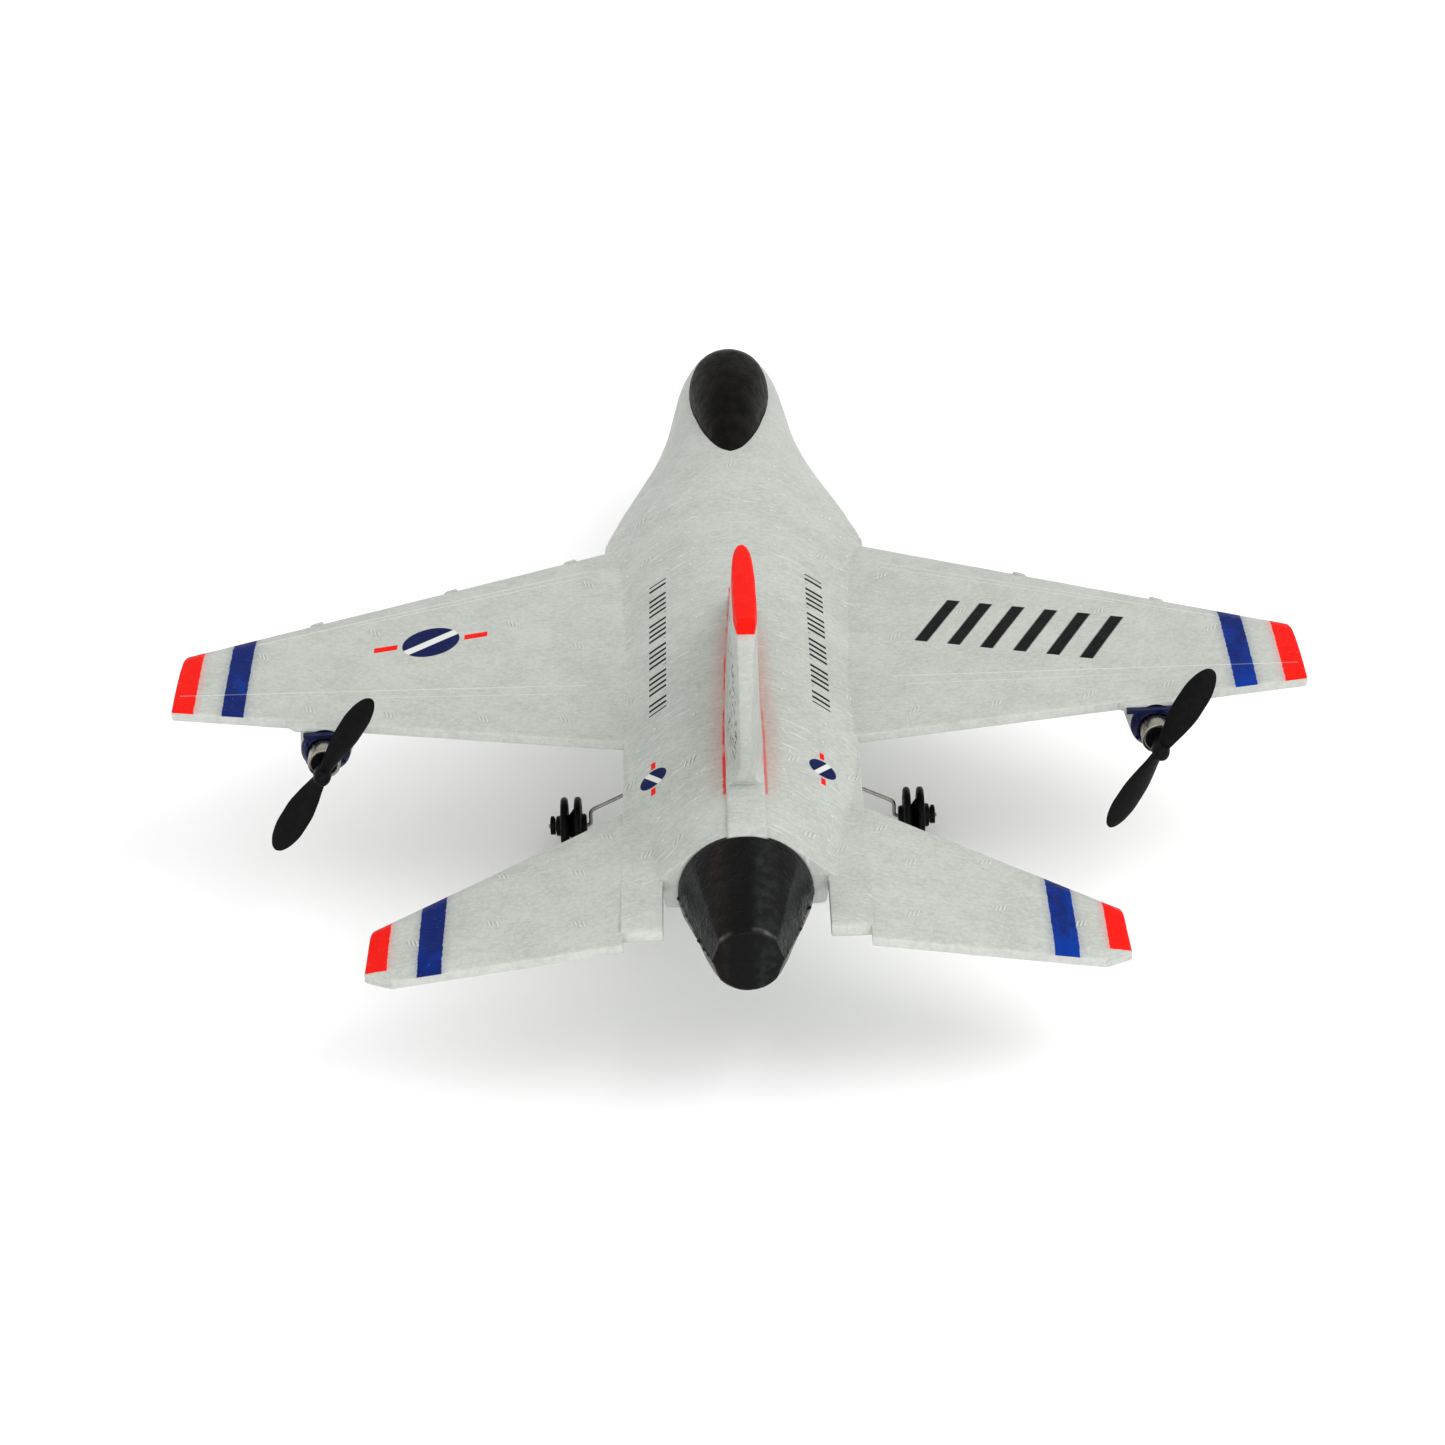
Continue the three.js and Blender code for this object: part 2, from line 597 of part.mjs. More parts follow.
// [place on the chord from rear to front, share of the half thickness at the foot
// and at the tip], then [distance behind the front edge, the same shares].
const FIN_SECTION = [[0.2, 1, 1], [0.45, 0.92, 1], [0.65, 0.8, 0.96], [0.82, 0.62, 0.84]];
const FIN_NOSE = [[3, 0.45, 0.62], [0.8, 0.25, 0.34]];

// A level section of the fin: a flat rear face, a thick middle and a rounded front.
// Its place and fullness follow its height, from 0 at the skin to 1 at the tip.
function finRing(z, { thickness, rearThickness, inset = 0, height = finHeight(z) }) {
  const rearY = THREE.MathUtils.lerp(FIN.rootRear, FIN.tipRear, height) + inset;
  const frontY = THREE.MathUtils.lerp(FIN.rootFront, FIN.tipFront, height) - inset;
  const half = thickness / 2 - inset;
  const share = (atFoot, atTip) => half * THREE.MathUtils.lerp(atFoot, atTip, height);
  const right = [
    [rearThickness / 2 - inset, rearY],
    ...FIN_SECTION.map(([along, foot, tip]) =>
      [share(foot, tip), THREE.MathUtils.lerp(rearY, frontY, along)]),
    ...FIN_NOSE.map(([back, foot, tip]) => [share(foot, tip), frontY - back]),
  ];
  const left = right.map(([x, y]) => [-x, y]).reverse();
  return [...right, [0, frontY], ...left].map(([x, y]) => [x, y, z]);
}

// The fin's foot, grown all round by a margin for the slot that it stands in.
function finFoot(z, margin) {
  return finRing(z, {
    thickness: FIN.footThickness, rearThickness: FIN.footRearThickness, inset: -margin, height: 0,
  });
}

function tailFin() {
  const tip = { thickness: FIN.tipThickness, rearThickness: FIN.tipRearThickness };
  const plate = loft([
    finFoot(FIN.rootZ, 0),
    finFoot(FIN.skinZ, 0),
    finRing(FIN.skinZ + FIN.filletHeight, {
      thickness: FIN.filletThickness, rearThickness: FIN.filletRearThickness,
    }),
    finRing(FIN.tipZ - FIN.tipRounding, tip),
    finRing(FIN.tipZ, { ...tip, inset: FIN.tipRounding }),
  ], alongZ);
  const block = box(
    [-FIN.blockHalfWidth, FIN.blockRear, FIN.rootZ],
    [FIN.blockHalfWidth, FIN.blockFront, FIN.blockTop],
  );
  return combine(plate, { add: [block] });
}

// ------------------------------------------------------------- motor units

// A sleeve pressed into the pod, with a flange against the pod's rear face.
function motorMount() {
  const { sleeveInner, sleeveOuter, sleeveFront, sleeveRear, flangeRadius, podRear, x, z } = MOTOR;
  const flangeFront = podRear - GAP;
  const profile = [
    [sleeveInner, sleeveFront], [sleeveOuter, sleeveFront], [sleeveOuter, flangeFront],
    [flangeRadius, flangeFront], [flangeRadius, flangeFront - 0.8],
    [sleeveInner + 0.4, sleeveRear], [sleeveInner, sleeveRear], [sleeveInner, sleeveFront],
  ];
  return turnedAboutY(profile, x, z, 24);
}

function motorCan() {
  const { canRadius, canFront, canRear, shaftRadius, shaftFront, x, z } = MOTOR;
  const [bore, boss] = [shaftRadius + GAP, 1.5];
  const profile = [
    [0, canFront], [canRadius, canFront], [canRadius, canRear + 0.5], [canRadius - 0.5, canRear],
    [boss, canRear], [boss, canRear - 0.8], [bore, canRear - 0.8], [bore, shaftFront + GAP],
    [0, shaftFront + GAP],
  ];
  return turnedAboutY(profile, x, z, 20);
}

function motorEndCap() {
  const front = MOTOR.canFront + GAP;
  return turnedAboutY(rod(MOTOR.canRadius - 0.2, front, front + 1.6), MOTOR.x, MOTOR.z, 16);
}

function motorShaft() {
  return turnedAboutY(rod(MOTOR.shaftRadius, MOTOR.shaftFront, MOTOR.shaftRear), MOTOR.x, MOTOR.z, 10);
}

// [radius, chord, thickness, pitch in degrees] along one propeller blade.
const BLADE_ROWS = [
  [1.2, 2.6, 1.7, 38], [4, 3.4, 1.4, 34], [8, 6.2, 1.1, 28], [13, 8.0, 0.9, 22],
  [18, 7.6, 0.8, 18], [22, 6.0, 0.7, 16], [24.8, 3.6, 0.6, 15], [26, 1.2, 0.5, 15],
];

function propellerBlade() {
  const points = 10;
  return loft(BLADE_ROWS.map(([radius, chord, thickness, pitch]) => {
    const twist = THREE.MathUtils.degToRad(pitch);
    return Array.from({ length: points }, (_, k) => {
      const angle = (2 * Math.PI * k) / points;
      const along = (chord / 2) * Math.cos(angle);
      const across = (thickness / 2) * Math.sin(angle);
      return [
        radius,
        along * Math.sin(twist) + across * Math.cos(twist),
        along * Math.cos(twist) - across * Math.sin(twist),
      ];
    });
  }), alongX);
}

function propeller() {
  const { y, hubRadius, hubFront, hubRear, restAngle } = PROP;
  const bore = MOTOR.shaftRadius + 0.1;
  const hub = turnedAboutY([
    [0, hubRear], [1.3, hubRear + 0.5], [2.0, hubRear + 1.6], [hubRadius, y], [2.0, y + 1.5],
    [1.5, y + 2.2], [1.5, hubFront], [0, hubFront],
  ], 0, 0, 16);
  const shaftHole = turnedAboutY(rod(bore, hubFront + 1, MOTOR.shaftRear - GAP), 0, 0, 12);
  const blade = propellerBlade();
  const opposite = blade.clone().rotateY(Math.PI);
  const whole = combine(hub, {
    add: [blade.translate(0, y, 0), opposite.translate(0, y, 0)],
    cut: [shaftHole],
  });
  return whole.rotateY(THREE.MathUtils.degToRad(-restAngle));
}

// ------------------------------------------------------------- landing gear

function wheel(x, y, z) {
  const { radius, hubRadius, hubWidth, discWidth, discOffset, bore } = WHEEL;
  const edge = 0.45;
  const disc = (center) => {
    const [inner, outer] = [center - discWidth / 2, center + discWidth / 2];
    return [[hubRadius, inner], [radius - edge, inner], [radius, inner + edge],
      [radius, outer - edge], [radius - edge, outer], [hubRadius, outer]];
  };
  const half = hubWidth / 2;
  const profile = [[bore, -half], [hubRadius, -half], ...disc(-discOffset), ...disc(discOffset),
    [hubRadius, half], [bore, half], [bore, -half]];
  return turnedAboutX(profile, y, z, 24).translate(x, 0, 0);
}

function wheelCollar(x, y, z) {
  const half = WHEEL.collarWidth / 2;
  const profile = sleeve(WHEEL.bore, WHEEL.collarRadius, -half, half);
  return turnedAboutX(profile, y, z, 14).translate(x, 0, 0);
}

function mainGearWire() {
  const { axleEnd, kneeX, kneeZ, y, z, clipY, flatX, flatZ } = MAIN_GEAR;
  const rightLeg = [[flatX, clipY, flatZ], [kneeX, y, kneeZ], [kneeX, y, z], [axleEnd, y, z]];
  const leftLeg = rightLeg.map(([px, py, pz]) => [-px, py, pz]).reverse();
  return bentWire([...leftLeg, ...rightLeg], WIRE_RADIUS, WIRE_BEND, 56);
}

function mainGearClip() {
  const top = BELLY - GAP;
  const bottom = top - CLIP.thickness;
  const plate = box([-CLIP.halfWidth, CLIP.rear, bottom], [CLIP.halfWidth, CLIP.front, top]);
  const holes = [-1, 1].map((side) => turnedAboutZ(
    rod(SCREW.radius + GAP, bottom - 1, top + 1), side * SCREW.x, SCREW.y, 10,
  ));
  return combine(plate, { cut: holes });
}

function clipScrew(side) {
  const headTop = BELLY - 2 * GAP - CLIP.thickness;
  const profile = [
    [0, headTop - SCREW.headHeight], [SCREW.headRadius, headTop - SCREW.headHeight],
    [SCREW.headRadius, headTop], [SCREW.radius, headTop],
    [SCREW.radius, BELLY + SCREW.depth], [0, BELLY + SCREW.depth],
  ];
  return turnedAboutZ(profile, side * SCREW.x, SCREW.y, 12);
}

function noseGearWire() {
  const { y, z, strutX, axleEnd, socketY } = NOSE_GEAR;
  const corners = [
    [0, socketY, SOCKET.top - 1], [0, socketY, SOCKET.bottom - 5],
    [strutX, y, z + 13], [strutX, y, z], [axleEnd, y, z],
  ];
  return bentWire(corners, WIRE_RADIUS, WIRE_BEND, 34);
}

function noseGearSocket() {
  const { half, bottom, top } = SOCKET;
  const block = box([-half, NOSE_GEAR.socketY - half, bottom], [half, NOSE_GEAR.socketY + half, top]);
  const hole = turnedAboutZ(rod(WIRE_RADIUS + GAP, bottom - 1, top - 1 + GAP), 0, NOSE_GEAR.socketY, 12);
  return combine(block, { cut: [hole] });
}

// -------------------------------------------------------- battery and board

const TRAY = {
  half: BAY.halfWidth - GAP, rear: BAY.rear + GAP, front: BAY.front - GAP, wall: 0.8,
  bottom: BELLY + 2.3, top: BAY.top - GAP, cavityFront: 43, lugWidth: 1.4,
};

function batteryTray() {
  const { half, rear, front, wall, bottom, top, cavityFront, lugWidth } = TRAY;
  const shell = box([-half, rear, bottom], [half, front, top]);
  const cavity = box([-half + wall, rear + wall, bottom - 1], [half - wall, cavityFront, top - wall]);
  const lug = (side) => {
    const [x0, x1] = [side * half, side * (half - lugWidth)].sort((a, b) => a - b);
    return box([x0, cavityFront + 0.3, BELLY + 0.1], [x1, front, bottom + 1]);
  };
  const pinHole = turnedAboutX(rod(HINGE.pinRadius + 0.15, -20, 20), HINGE.y, HINGE.z, 14);
  return combine(shell, { add: [lug(-1), lug(1)], cut: [cavity, pinHole] });
}

function batteryDoor() {
  const { half, rear, cavityFront, lugWidth } = TRAY;
  const tabHalf = half - lugWidth - GAP;
  const plate = box([-half, rear, BELLY], [half, cavityFront - 0.2, BELLY + 1.5]);
  const tab = box([-tabHalf, cavityFront - 1, BELLY + 0.15], [tabHalf, HINGE.y, BELLY + 1.5]);
  const knuckle = turnedAboutX(rod(0.85, -tabHalf, tabHalf), HINGE.y, HINGE.z, 14);
  const pinHole = turnedAboutX(rod(HINGE.pinRadius + 0.1, -20, 20), HINGE.y, HINGE.z, 14);
  return combine(plate, { add: [tab, knuckle], cut: [pinHole] });
}

function batteryDoorPin() {
  const half = TRAY.half - 0.1;
  return turnedAboutX(rod(HINGE.pinRadius, -half, half), HINGE.y, HINGE.z, 10);
}

const CELL = { half: 9.3, rear: 1.6, front: 39.2, bottom: BELLY + 3.2, top: BAY.top - 1.5, rim: 2 };

// A pouch cell: a flat block with rounded long edges.
function lipoBattery() {
  const { half, rear, front, bottom, top, rim } = CELL;
  const section = new THREE.Shape();
  section.absarc(half - rim, top - rim, rim, 0, Math.PI / 2);
  section.absarc(rim - half, top - rim, rim, Math.PI / 2, Math.PI);
  section.absarc(rim - half, bottom + rim, rim, Math.PI, Math.PI * 1.5);
  section.absarc(half - rim, bottom + rim, rim, Math.PI * 1.5, Math.PI * 2);
  const options = { depth: front - rear, bevelEnabled: false, curveSegments: 3 };
  const block = new THREE.ExtrudeGeometry(section, options);
  return closed(block.rotateX(Math.PI / 2).translate(0, front, 0));
}

const PLUG = { x: 0, rear: 39.7, front: 42.6, half: 4, bottom: BELLY + 4, top: BELLY + 9 };

function batteryPlug() {
  const { x, rear, front, half, bottom, top } = PLUG;
  const body = box([x - half, rear, bottom], [x + half, front, top]);
  const rib = box([x - 1, rear + 0.6, top - 0.5], [x + 1, front - 0.6, top + 0.8]);
  return combine(body, { add: [rib] });
}

function batteryLead() {
  const z = BELLY + 6.5;
  const y = (PLUG.rear + PLUG.front) / 2;
  const corners = [[-7, CELL.front + GAP, z], [-7, y, z], [PLUG.x - PLUG.half - GAP, y, z]];
  return bentWire(corners, LEAD.radius, 1, 10);
}

function flightControlBoard() {
  const bottom = BOARD_POCKET.bottom + GAP;
  const board = box([-10.5, -33.5, bottom], [10.5, -13, bottom + 1.2]);
  const chip = (x, y, w, d, h) =>
    box([x - w, y - d, bottom + 1], [x + w, y + d, bottom + 1.2 + h]);
  return combine(board, {
    add: [chip(0, -23, 3.5, 3.5, 1), chip(-7, -28, 2, 1.6, 1.6), chip(7, -28, 2, 1.6, 1.6),
      chip(6.5, -17, 1.8, 1.3, 1.2), chip(-6, -16.5, 2.4, 1.6, 3.2)],
  });
}

function wingSpar() {
  const [halfWidth, halfThick] = [SPAR.width / 2, SPAR.thickness / 2];
  return box(
    [-SPAR.halfLength, SPAR.y - halfWidth, SPAR.z - halfThick],
    [SPAR.halfLength, SPAR.y + halfWidth, SPAR.z + halfThick],
  );
}

// ---------------------------------------------------------------- assembly

addPart('upper_fuselage', upperFuselage(), FOAM);
addPart('lower_fuselage', lowerFuselage(), FOAM);
addPart('exhaust_nozzle_upper', nozzleHalf(true), BLACK_PAINT);
addPart('exhaust_nozzle_lower', nozzleHalf(false), BLACK_PAINT);
addPart('canopy', canopyBody(), BLACK_PAINT);
addPart('tail_fin', tailFin(), FOAM);
addPart('wing_spar', wingSpar(), CARBON);

const onRight = (geometry) => geometry;
const sides = [['left', mirrored, -1], ['right', onRight, 1]];
sides.forEach(([side, placed, sign]) => {
  addPart(`${side}_wing`, placed(wing()), FOAM);
  addPart(`${side}_tailplane`, placed(tailplane()), FOAM);
  addPart(`${side}_motor_mount`, placed(motorMount()), BLUE_PLASTIC);
  addPart(`${side}_motor_can`, placed(motorCan()), STEEL);
  addPart(`${side}_motor_end_cap`, placed(motorEndCap()), WHITE_PLASTIC);
  addPart(`${side}_motor_shaft`, placed(motorShaft()), STEEL);
  addPart(`${side}_motor_lead`, placed(bentWire(leadRoute(), LEAD.radius, 2, 28)), RED_WIRE);
  addPart(`${side}_propeller`, propeller(), BLACK_PLASTIC)
    .position.set(sign * MOTOR.x, 0, MOTOR.z);
  addPart(`${side}_wheel`, wheel(sign * MAIN_GEAR.wheelX, MAIN_GEAR.y, MAIN_GEAR.z), BLACK_PLASTIC);
  const collarX = MAIN_GEAR.wheelX + WHEEL.hubWidth / 2 + GAP + WHEEL.collarWidth / 2;
  addPart(`${side}_wheel_collar`, wheelCollar(sign * collarX, MAIN_GEAR.y, MAIN_GEAR.z), BLACK_PLASTIC);
  addPart(`${side}_clip_screw`, clipScrew(sign), STEEL);
});

addPart('main_gear_wire', mainGearWire(), STEEL);
addPart('main_gear_clip', mainGearClip(), WHITE_PLASTIC);
addPart('nose_gear_wire', noseGearWire(), STEEL);
addPart('nose_gear_socket', noseGearSocket(), WHITE_PLASTIC);
addPart('nose_wheel', wheel(0, NOSE_GEAR.y, NOSE_GEAR.z), BLACK_PLASTIC);
const noseCollarX = -(WHEEL.hubWidth + WHEEL.collarWidth) / 2 - GAP;
addPart('nose_wheel_collar', wheelCollar(noseCollarX, NOSE_GEAR.y, NOSE_GEAR.z), BLACK_PLASTIC);

addPart('battery_tray', batteryTray(), WHITE_PLASTIC);
addPart('battery_door', batteryDoor(), WHITE_PLASTIC);
addPart('battery_door_pin', batteryDoorPin(), STEEL);
addPart('lipo_battery', lipoBattery(), BATTERY_WRAP);
addPart('battery_plug', batteryPlug(), WHITE_PLASTIC);
addPart('battery_lead', batteryLead(), RED_WIRE);
addPart('flight_control_board', flightControlBoard(), BOARD_GREEN);

export default aircraft;
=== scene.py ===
import math
import random

import bmesh
import bpy
import numpy as np
from mathutils import Matrix, Vector, noise


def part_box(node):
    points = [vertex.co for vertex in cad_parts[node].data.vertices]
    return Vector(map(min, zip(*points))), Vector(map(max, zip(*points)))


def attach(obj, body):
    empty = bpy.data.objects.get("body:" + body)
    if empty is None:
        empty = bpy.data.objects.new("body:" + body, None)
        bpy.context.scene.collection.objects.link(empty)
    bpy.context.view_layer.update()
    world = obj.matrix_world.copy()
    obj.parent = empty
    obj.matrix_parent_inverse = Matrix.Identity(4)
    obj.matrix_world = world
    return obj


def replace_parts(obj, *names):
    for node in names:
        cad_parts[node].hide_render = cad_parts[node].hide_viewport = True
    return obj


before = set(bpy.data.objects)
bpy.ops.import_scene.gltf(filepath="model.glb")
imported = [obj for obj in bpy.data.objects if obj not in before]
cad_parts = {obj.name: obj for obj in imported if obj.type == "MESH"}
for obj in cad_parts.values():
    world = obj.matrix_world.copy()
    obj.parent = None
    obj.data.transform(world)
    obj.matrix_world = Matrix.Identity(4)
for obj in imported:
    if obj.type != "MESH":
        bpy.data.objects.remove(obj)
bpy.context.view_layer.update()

# The looks of a moulded-foam radio-controlled jet. Shapes are in millimetres in
# the aircraft's frame: nose towards +Y, right wing towards +X, +Z up.

MM = 0.001
GAP = 0.3                # clearance between parts that fit into each other
WING_PLANE = 46          # height of the wing's middle plane at the root
PARTING = 44             # height where the two fuselage halves meet
BELLY = 24
BODY_END = -139.5
SCENE = bpy.context.scene
RANDOM = random.Random(7)


# --------------------------------------------------------------- the frame

def node_box(node):
    """Lowest and highest corner of a CAD node, in millimetres."""
    low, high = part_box(node)
    return np.array(low) / MM, np.array(high) / MM


def node_centre(node):
    low, high = node_box(node)
    return (low + high) / 2


# ------------------------------------------------------------ mesh helpers

def new_object(name, data):
    ob = bpy.data.objects.new(name, data)
    SCENE.collection.objects.link(ob)
    return ob


def mesh_object(name, points, faces):
    mesh = bpy.data.meshes.new(name)
    mesh.from_pydata([tuple(float(c) * MM for c in point) for point in points], [], faces)
    return cleaned(new_object(name, mesh))


def cleaned(ob):
    """Joins doubled points and turns every face outwards."""
    bm = bmesh.new()
    bm.from_mesh(ob.data)
    bmesh.ops.remove_doubles(bm, verts=bm.verts, dist=1e-7)
    bmesh.ops.dissolve_degenerate(bm, edges=bm.edges, dist=1e-7)
    bmesh.ops.recalc_face_normals(bm, faces=bm.faces)
    bm.to_mesh(ob.data)
    bm.free()
    return ob


def loft(name, rings):
    """Skins a row of rings and closes its ends with strips between opposite points."""
    rings = np.array(rings, float)
    count, size = rings.shape[:2]
    faces = []
    for r in range(count - 1):
        for i in range(size):
            j = (i + 1) % size
            faces.append((r * size + i, r * size + j, (r + 1) * size + j, (r + 1) * size + i))
    for base in (0, (count - 1) * size):
        for i in range((size - 1) // 2):
            corners = (i, i + 1, size - 2 - i, size - 1 - i)
            faces.append(tuple(base + k for k in dict.fromkeys(corners)))
    return mesh_object(name, rings.reshape(-1, 3), faces)


def rounded(corners, radius, steps=5):
    """A path through the corners, each turned into a short curve."""
    corners = np.array(corners, float)
    path = [corners[0]]
    for before, corner, after in zip(corners, corners[1:], corners[2:]):
        back, ahead = before - corner, after - corner
        reach = min(radius, np.linalg.norm(back) * 0.49, np.linalg.norm(ahead) * 0.49)
        start = corner + back / np.linalg.norm(back) * reach
        end = corner + ahead / np.linalg.norm(ahead) * reach
        for t in np.linspace(0, 1, steps):
            path.append(start * (1 - t) ** 2 + corner * 2 * t * (1 - t) + end * t ** 2)
    path.append(corners[-1])
    return np.array(path)


def rounded_ring(profile, radius, steps):
    """Rounds the corners of a profile that closes on itself, except where it starts."""
    return [*rounded(profile, radius, steps)[:-1], profile[0]]


def quarter_turn(start, count):
    """(sine, 1 - cosine) at steps up to a quarter turn, for a rounded end."""
    angles = np.linspace(start, 1, count) * math.pi / 2
    return [(math.sin(a), 1 - math.cos(a)) for a in angles]


AXES = {"X": (1, 2, 0), "Y": (2, 0, 1), "Z": (0, 1, 2)}


def turned(name, profile, axis, centre, sides=64):
    """A turned solid about a line through centre. The profile is [radius, place on
    the axis] pairs: it starts and ends on the axis, or closes on itself."""
    across, up, along = AXES[axis]
    profile = [tuple(map(float, pair)) for pair in profile]
    is_ring = profile[0] == profile[-1]
    if is_ring:
        profile = profile[:-1]
    points, starts = [], []
    for radius, place in profile:
        starts.append(len(points))
        for k in range(sides if radius > 1e-6 else 1):
            point = np.array(centre, float)
            point[along] = place
            point[across] += radius * math.cos(2 * math.pi * k / sides)
            point[up] += radius * math.sin(2 * math.pi * k / sides)
            points.append(point)
    faces = []
    pairs = list(zip(range(len(profile)), range(1, len(profile))))
    for a, b in pairs + ([(len(profile) - 1, 0)] if is_ring else []):
        for k in range(sides):
            n = (k + 1) % sides
            lower = [starts[a] + k, starts[a] + n] if profile[a][0] > 1e-6 else [starts[a]]
            upper = [starts[b] + n, starts[b] + k] if profile[b][0] > 1e-6 else [starts[b]]
            faces.append(tuple(lower + upper))
    return mesh_object(name, points, faces)


def tube(name, corners, radius, bend):
    """A round wire along straight runs joined by bends."""
    angles = np.linspace(0, 2 * math.pi, 16, endpoint=False)
    path = rounded(corners, bend, 9)
    tangents = np.gradient(path, axis=0)
    tangents /= np.linalg.norm(tangents, axis=1)[:, None]
    side = np.cross(tangents[0], (0.13, 0.2, 1))
    rings = []
    for point, tangent in zip(path, tangents):
        side -= tangent * np.dot(side, tangent)
        side /= np.linalg.norm(side)
        up = np.cross(tangent, side)
        rings.append([point + radius * (math.cos(a) * side + math.sin(a) * up) for a in angles])
    return loft(name, rings)


def block(low, high):
    x, y, z = zip(low, high)
    ring = [(x[0], z[0]), (x[1], z[0]), (x[1], z[1]), (x[0], z[1])]
    return loft("block", [[(px, py, pz) for px, pz in ring] for py in y])


def room_for(node, across=None, floor=None):
    """A block that clears a CAD node all round. Its reach across the aircraft or its
    floor can be given instead."""
    low, high = node_box(node)
    low, high = low - GAP, high + GAP
    if across:
        low[0], high[0] = across
    if floor is not None:
        low[2] = floor
    return block(low, high)


def rod(axis, centre, radius, start, end, sides=32):
    profile = [(0, start), (radius, start), (radius, end), (0, end)]
    return turned("rod", profile, axis, centre, sides)


def bake(ob):
    """Applies every modifier."""
    bpy.context.view_layer.update()
    graph = bpy.context.evaluated_depsgraph_get()
    mesh = bpy.data.meshes.new_from_object(ob.evaluated_get(graph))
    ob.modifiers.clear()
    ob.data = mesh
    return ob


def combine(ob, add=(), cut=()):
    """Joins and cuts closed solids."""
    for operation, others in (("UNION", add), ("DIFFERENCE", cut)):
        for other in others:
            modifier = ob.modifiers.new(operation.lower(), "BOOLEAN")
            modifier.operation = operation
            modifier.solver = "MANIFOLD"
            modifier.object = other
    bake(ob)
    for other in [*add, *cut]:
        bpy.data.objects.remove(other)
    return ob


def soften_edges(ob, width, angle=40, segments=3):
    modifier = ob.modifiers.new("edges", "BEVEL")
    modifier.width = width * MM
    modifier.segments = segments
    modifier.limit_method = "ANGLE"
    modifier.angle_limit = math.radians(angle)
    return bake(ob)


def waver(ob, height, size):
    """Moves the surface in and out a little, as moulded foam is never quite even."""
    mesh = ob.data
    for vertex in mesh.vertices:
        place = vertex.co / (size * MM)
        vertex.co += vertex.normal * noise.noise(place) * height * MM
    return ob


def finish_with(ob, materials, index=0):
    """Lists the materials on a shape and uses one of them for all its faces."""
    for material in materials:
        ob.data.materials.append(material)
    ob.data.polygons.foreach_set("material_index", [index] * len(ob.data.polygons))
    return ob


def piece(ob, body, material=None, nodes=(), sharp=38):
    """Gives a shape its finish and body, and hides the CAD nodes it stands for."""
    if material:
        ob.data.materials.clear()
        ob.data.materials.append(material)
    ob.data.shade_smooth()
    ob.data.set_sharp_from_angle(angle=math.radians(sharp))
    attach(ob, body)
    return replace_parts(ob, *nodes)


class Rows:
    """Smooth curves through rows of [place, value, ...] that never overshoot."""

    def __init__(self, rows):
        table = np.array(sorted(map(list, rows)), float)
        self.place, self.value = table[:, 0], table[:, 1:]
        slope = np.diff(self.value, axis=0) / np.diff(self.place)[:, None]
        product, total = slope[:-1] * slope[1:], slope[:-1] + slope[1:]
        rising = product > 0
        inner = np.where(rising, 2 * product / np.where(rising, total, 1), 0)
        self.tangent = np.vstack([slope[:1], inner, slope[-1:]])

    def __call__(self, at):
        at = np.clip(np.asarray(at, float), self.place[0], self.place[-1])
        i = np.clip(np.searchsorted(self.place, at) - 1, 0, len(self.place) - 2)
        span = self.place[i + 1] - self.place[i]
        t = ((at - self.place[i]) / span)[..., None]
        span = span[..., None]
        start, end = self.value[i], self.value[i + 1]
        out = (2 * t ** 3 - 3 * t ** 2 + 1) * start + (3 * t ** 2 - 2 * t ** 3) * end
        out += (t ** 3 - 2 * t ** 2 + t) * span * self.tangent[i]
        out += (t ** 3 - t ** 2) * span * self.tangent[i + 1]
        return np.moveaxis(out, -1, 0)


# ---------------------------------------------------------------- materials

